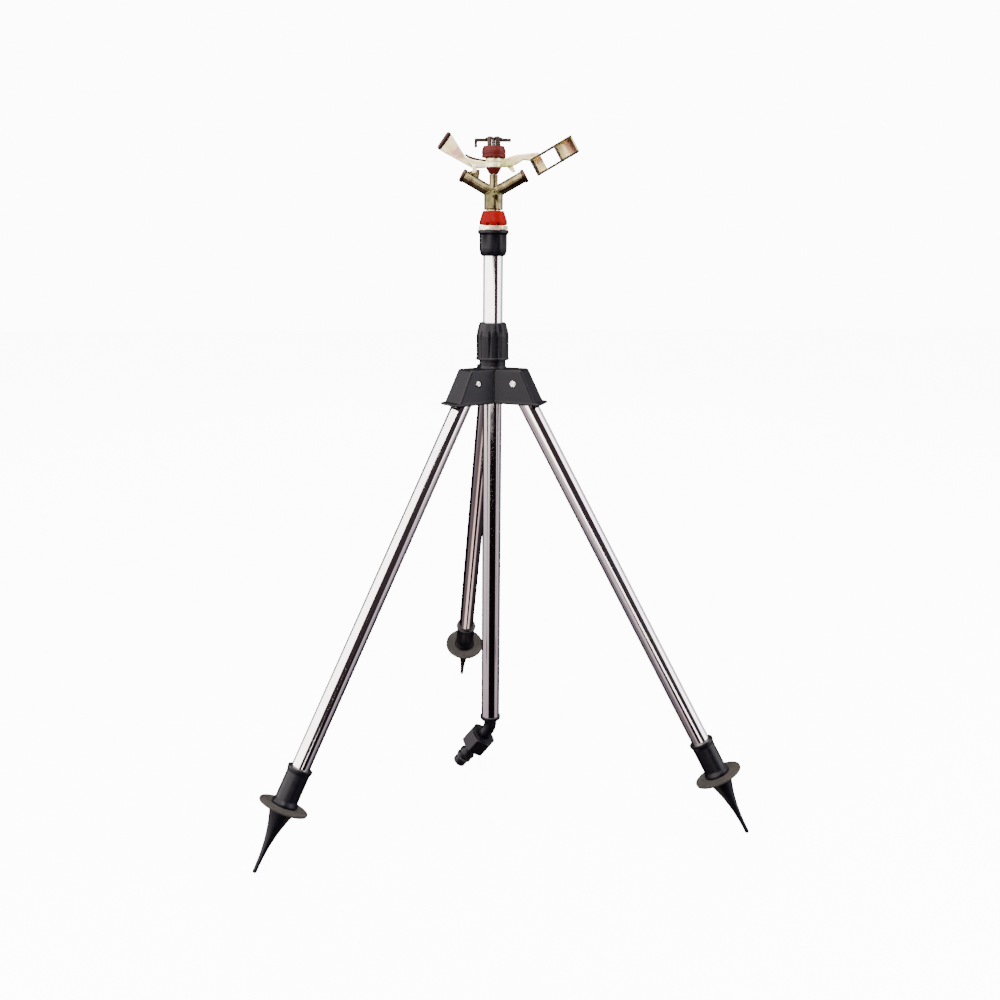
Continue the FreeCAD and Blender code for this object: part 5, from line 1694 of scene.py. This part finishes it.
@dataclass
class Studio:
    """Pale floor, soft lights, camera and surroundings."""

    distance: float = 974.2 * MM
    height: float = 562.0 * MM
    yaw: float = math.radians(8.14)
    aside: float = math.radians(0.499)
    pitch: float = math.radians(14.29)
    roll: float = math.radians(0.481)
    lens: float = 35.69
    floor_half: float = 6.0
    floor_gap: float = 0.4 * MM
    aim: tuple[float, float, float] = (0.0, 0.0, 0.35)
    lamps: tuple[Lamp, ...] = (
        Lamp("key", (-2.0, -1.2, 1.5), 1.4, 110.0), Lamp("side", (2.1, -0.7, 1.2), 1.1, 90.0),
        Lamp("front", (-0.3, -1.9, 2.0), 0.9, 34.0, mirrored=True), Lamp("back", (0.4, 2.4, 2.0), 2.0, 50.0))
    seen: float = 12.0
    soft: float = 0.9
    mirrored: float = 7.5

    def build(self) -> None:
        """Set up the studio."""
        self.floor()
        self.lights()
        self.camera()
        self.world()

    def floor(self) -> None:
        """Large plain pale floor under the spike tips."""
        span = np.linspace(-self.floor_half, self.floor_half, 9)
        x, y = np.meshgrid(span, span, indexing="ij")
        made = Surface().grid(np.stack([x, y, np.full_like(x, -self.floor_gap)], -1))
        piece = add_object("floor", made.mesh("floor"))
        piece.data.materials.append(PaleFloor().material())
        piece.visible_glossy = False
        piece.visible_diffuse = False

    def lights(self) -> None:
        """Hang the lamps and turn them to the sprinkler."""
        for lamp in self.lamps:
            data = bpy.data.lights.new(lamp.name, "AREA")
            data.shape = "SQUARE"
            data.size = lamp.size
            data.energy = lamp.power
            piece = bpy.data.objects.new(lamp.name, data)
            piece.location = lamp.spot
            aim = np.array(self.aim) - np.array(lamp.spot)
            piece.rotation_euler = Vector(aim).to_track_quat("-Z", "Y").to_euler()
            piece.visible_glossy = lamp.mirrored
            bpy.context.scene.collection.objects.link(piece)

    def camera(self) -> None:
        """Camera in front of the head, looking a little down."""
        data = bpy.data.cameras.new("camera")
        data.lens = self.lens
        data.sensor_width = 36.0
        data.clip_start = 0.01
        lens = bpy.data.objects.new("camera", data)
        spin = Matrix.Rotation(-self.yaw - self.aside, 4, "Z")
        tilt = Matrix.Rotation(math.pi / 2 - self.pitch, 4, "X")
        lean = Matrix.Rotation(self.roll, 4, "Z")
        spot = Vector((-self.distance * math.sin(self.yaw), -self.distance * math.cos(self.yaw), self.height))
        lens.matrix_world = Matrix.Translation(spot) @ spin @ tilt @ lean
        bpy.context.scene.collection.objects.link(lens)
        bpy.context.scene.camera = lens

    def world(self) -> None:
        """Surroundings: white to the eye, soft to matte faces, banded bright and dark in reflections."""
        tree = Tree(bpy.data.worlds.new("studio"))
        white = (1.0, 1.0, 1.0)
        seen = tree.node("Background", Color=white, Strength=self.seen)
        soft = tree.node("Background", Color=white, Strength=self.soft)
        mirrored = tree.node("Background", Color=self.surroundings(tree), Strength=self.mirrored)
        inner = tree.node("MixShader", Fac=tree.node("LightPath", output="Is Glossy Ray"),
                          in1=soft, in2=mirrored)
        outer = tree.node("MixShader", Fac=tree.node("LightPath", output="Is Camera Ray"),
                          in1=inner, in2=seen)
        tree.feed(tree.nodes["World Output"].inputs["Surface"], outer)
        bpy.context.scene.world = tree.owner

    def surroundings(self, tree: Tree) -> Value:
        """Colour of the reflected studio.

        Upright bands, a ramp over the direction's heading atan2(x, y), are dimmed towards the
        floor and the ceiling by a second ramp over its height; a third adds a pale panel overhead,
        and a fourth says how far the bright left band reaches at each height.

        Args:
            tree: The world's nodes.

        Returns:
            The colour.
        """
        way = tree.node("Mapping", None, Vector=tree.node("TexCoord", output="Generated"),
                        Rotation=(0, 0, -self.yaw), Scale=(1, -1, 1))
        x, y, z = (tree.node("SeparateXYZ", None, output=axis, Vector=way) for axis in "XYZ")
        heading = tree.node("Math", {"operation": "ARCTAN2"}, in0=x, in1=y).between(-math.pi, math.pi)
        height = z.between(-1.0, 1.0)
        bands, levels, panel, edge = (
            tree.node("ValToRGB", {"stops": stops}, output="Color", Fac=place)
            for stops, place in ((BANDS, heading), (LEVELS, height), (PANEL, height), (EDGE, height)))
        widened = (edge - heading).between(0.0, 0.012) * heading.between(0.40, 0.41)
        dimmed = tree.node("Mix", {"data_type": "RGBA", "blend_type": "MULTIPLY"}, output=2,
                           in0=1.0, in6=blend(tree, widened, bands, (1.0, 0.94, 0.92)), in7=levels)
        return blend(tree, panel, dimmed, (1.6, 1.55, 1.42))


@dataclass(frozen=True)
class PaleFloor(Finish):
    """Pale matte floor with the faintest clouding."""

    name: str = "pale_floor"
    colour: tuple[float, float, float] = (0.93, 0.93, 0.93)

    def make(self) -> bpy.types.Material:
        """Broad noise moves the roughness and the tint by a hair."""
        tree = self.tree()
        cloud = noise(tree, tree.node("TexCoord", output="Object"), 1.5, 2.0)
        tree.surface(Base_Color=blend(tree, cloud, self.colour, (0.95, 0.95, 0.95)),
                     Roughness=0.85 + cloud * 0.1, Specular_IOR_Level=0.0,
                     Emission_Color=(1.0, 1.0, 1.0), Emission_Strength=10.5)
        return tree.owner


# ---------------------------------------------------------------- script


def main() -> None:
    """Build the sprinkler from the ground up, then the studio."""
    TripodHub().build()
    for side in ("left", "right", "rear"):
        Leg(side).build()
    Riser().build()
    SwivelBase().build()
    Rotor().build()
    RockerArm().build()
    TensionCrown().build()
    Studio().build()


if __name__ == "__main__":
    logging.basicConfig(level=logging.INFO, format="%(name)s %(message)s")
    main()
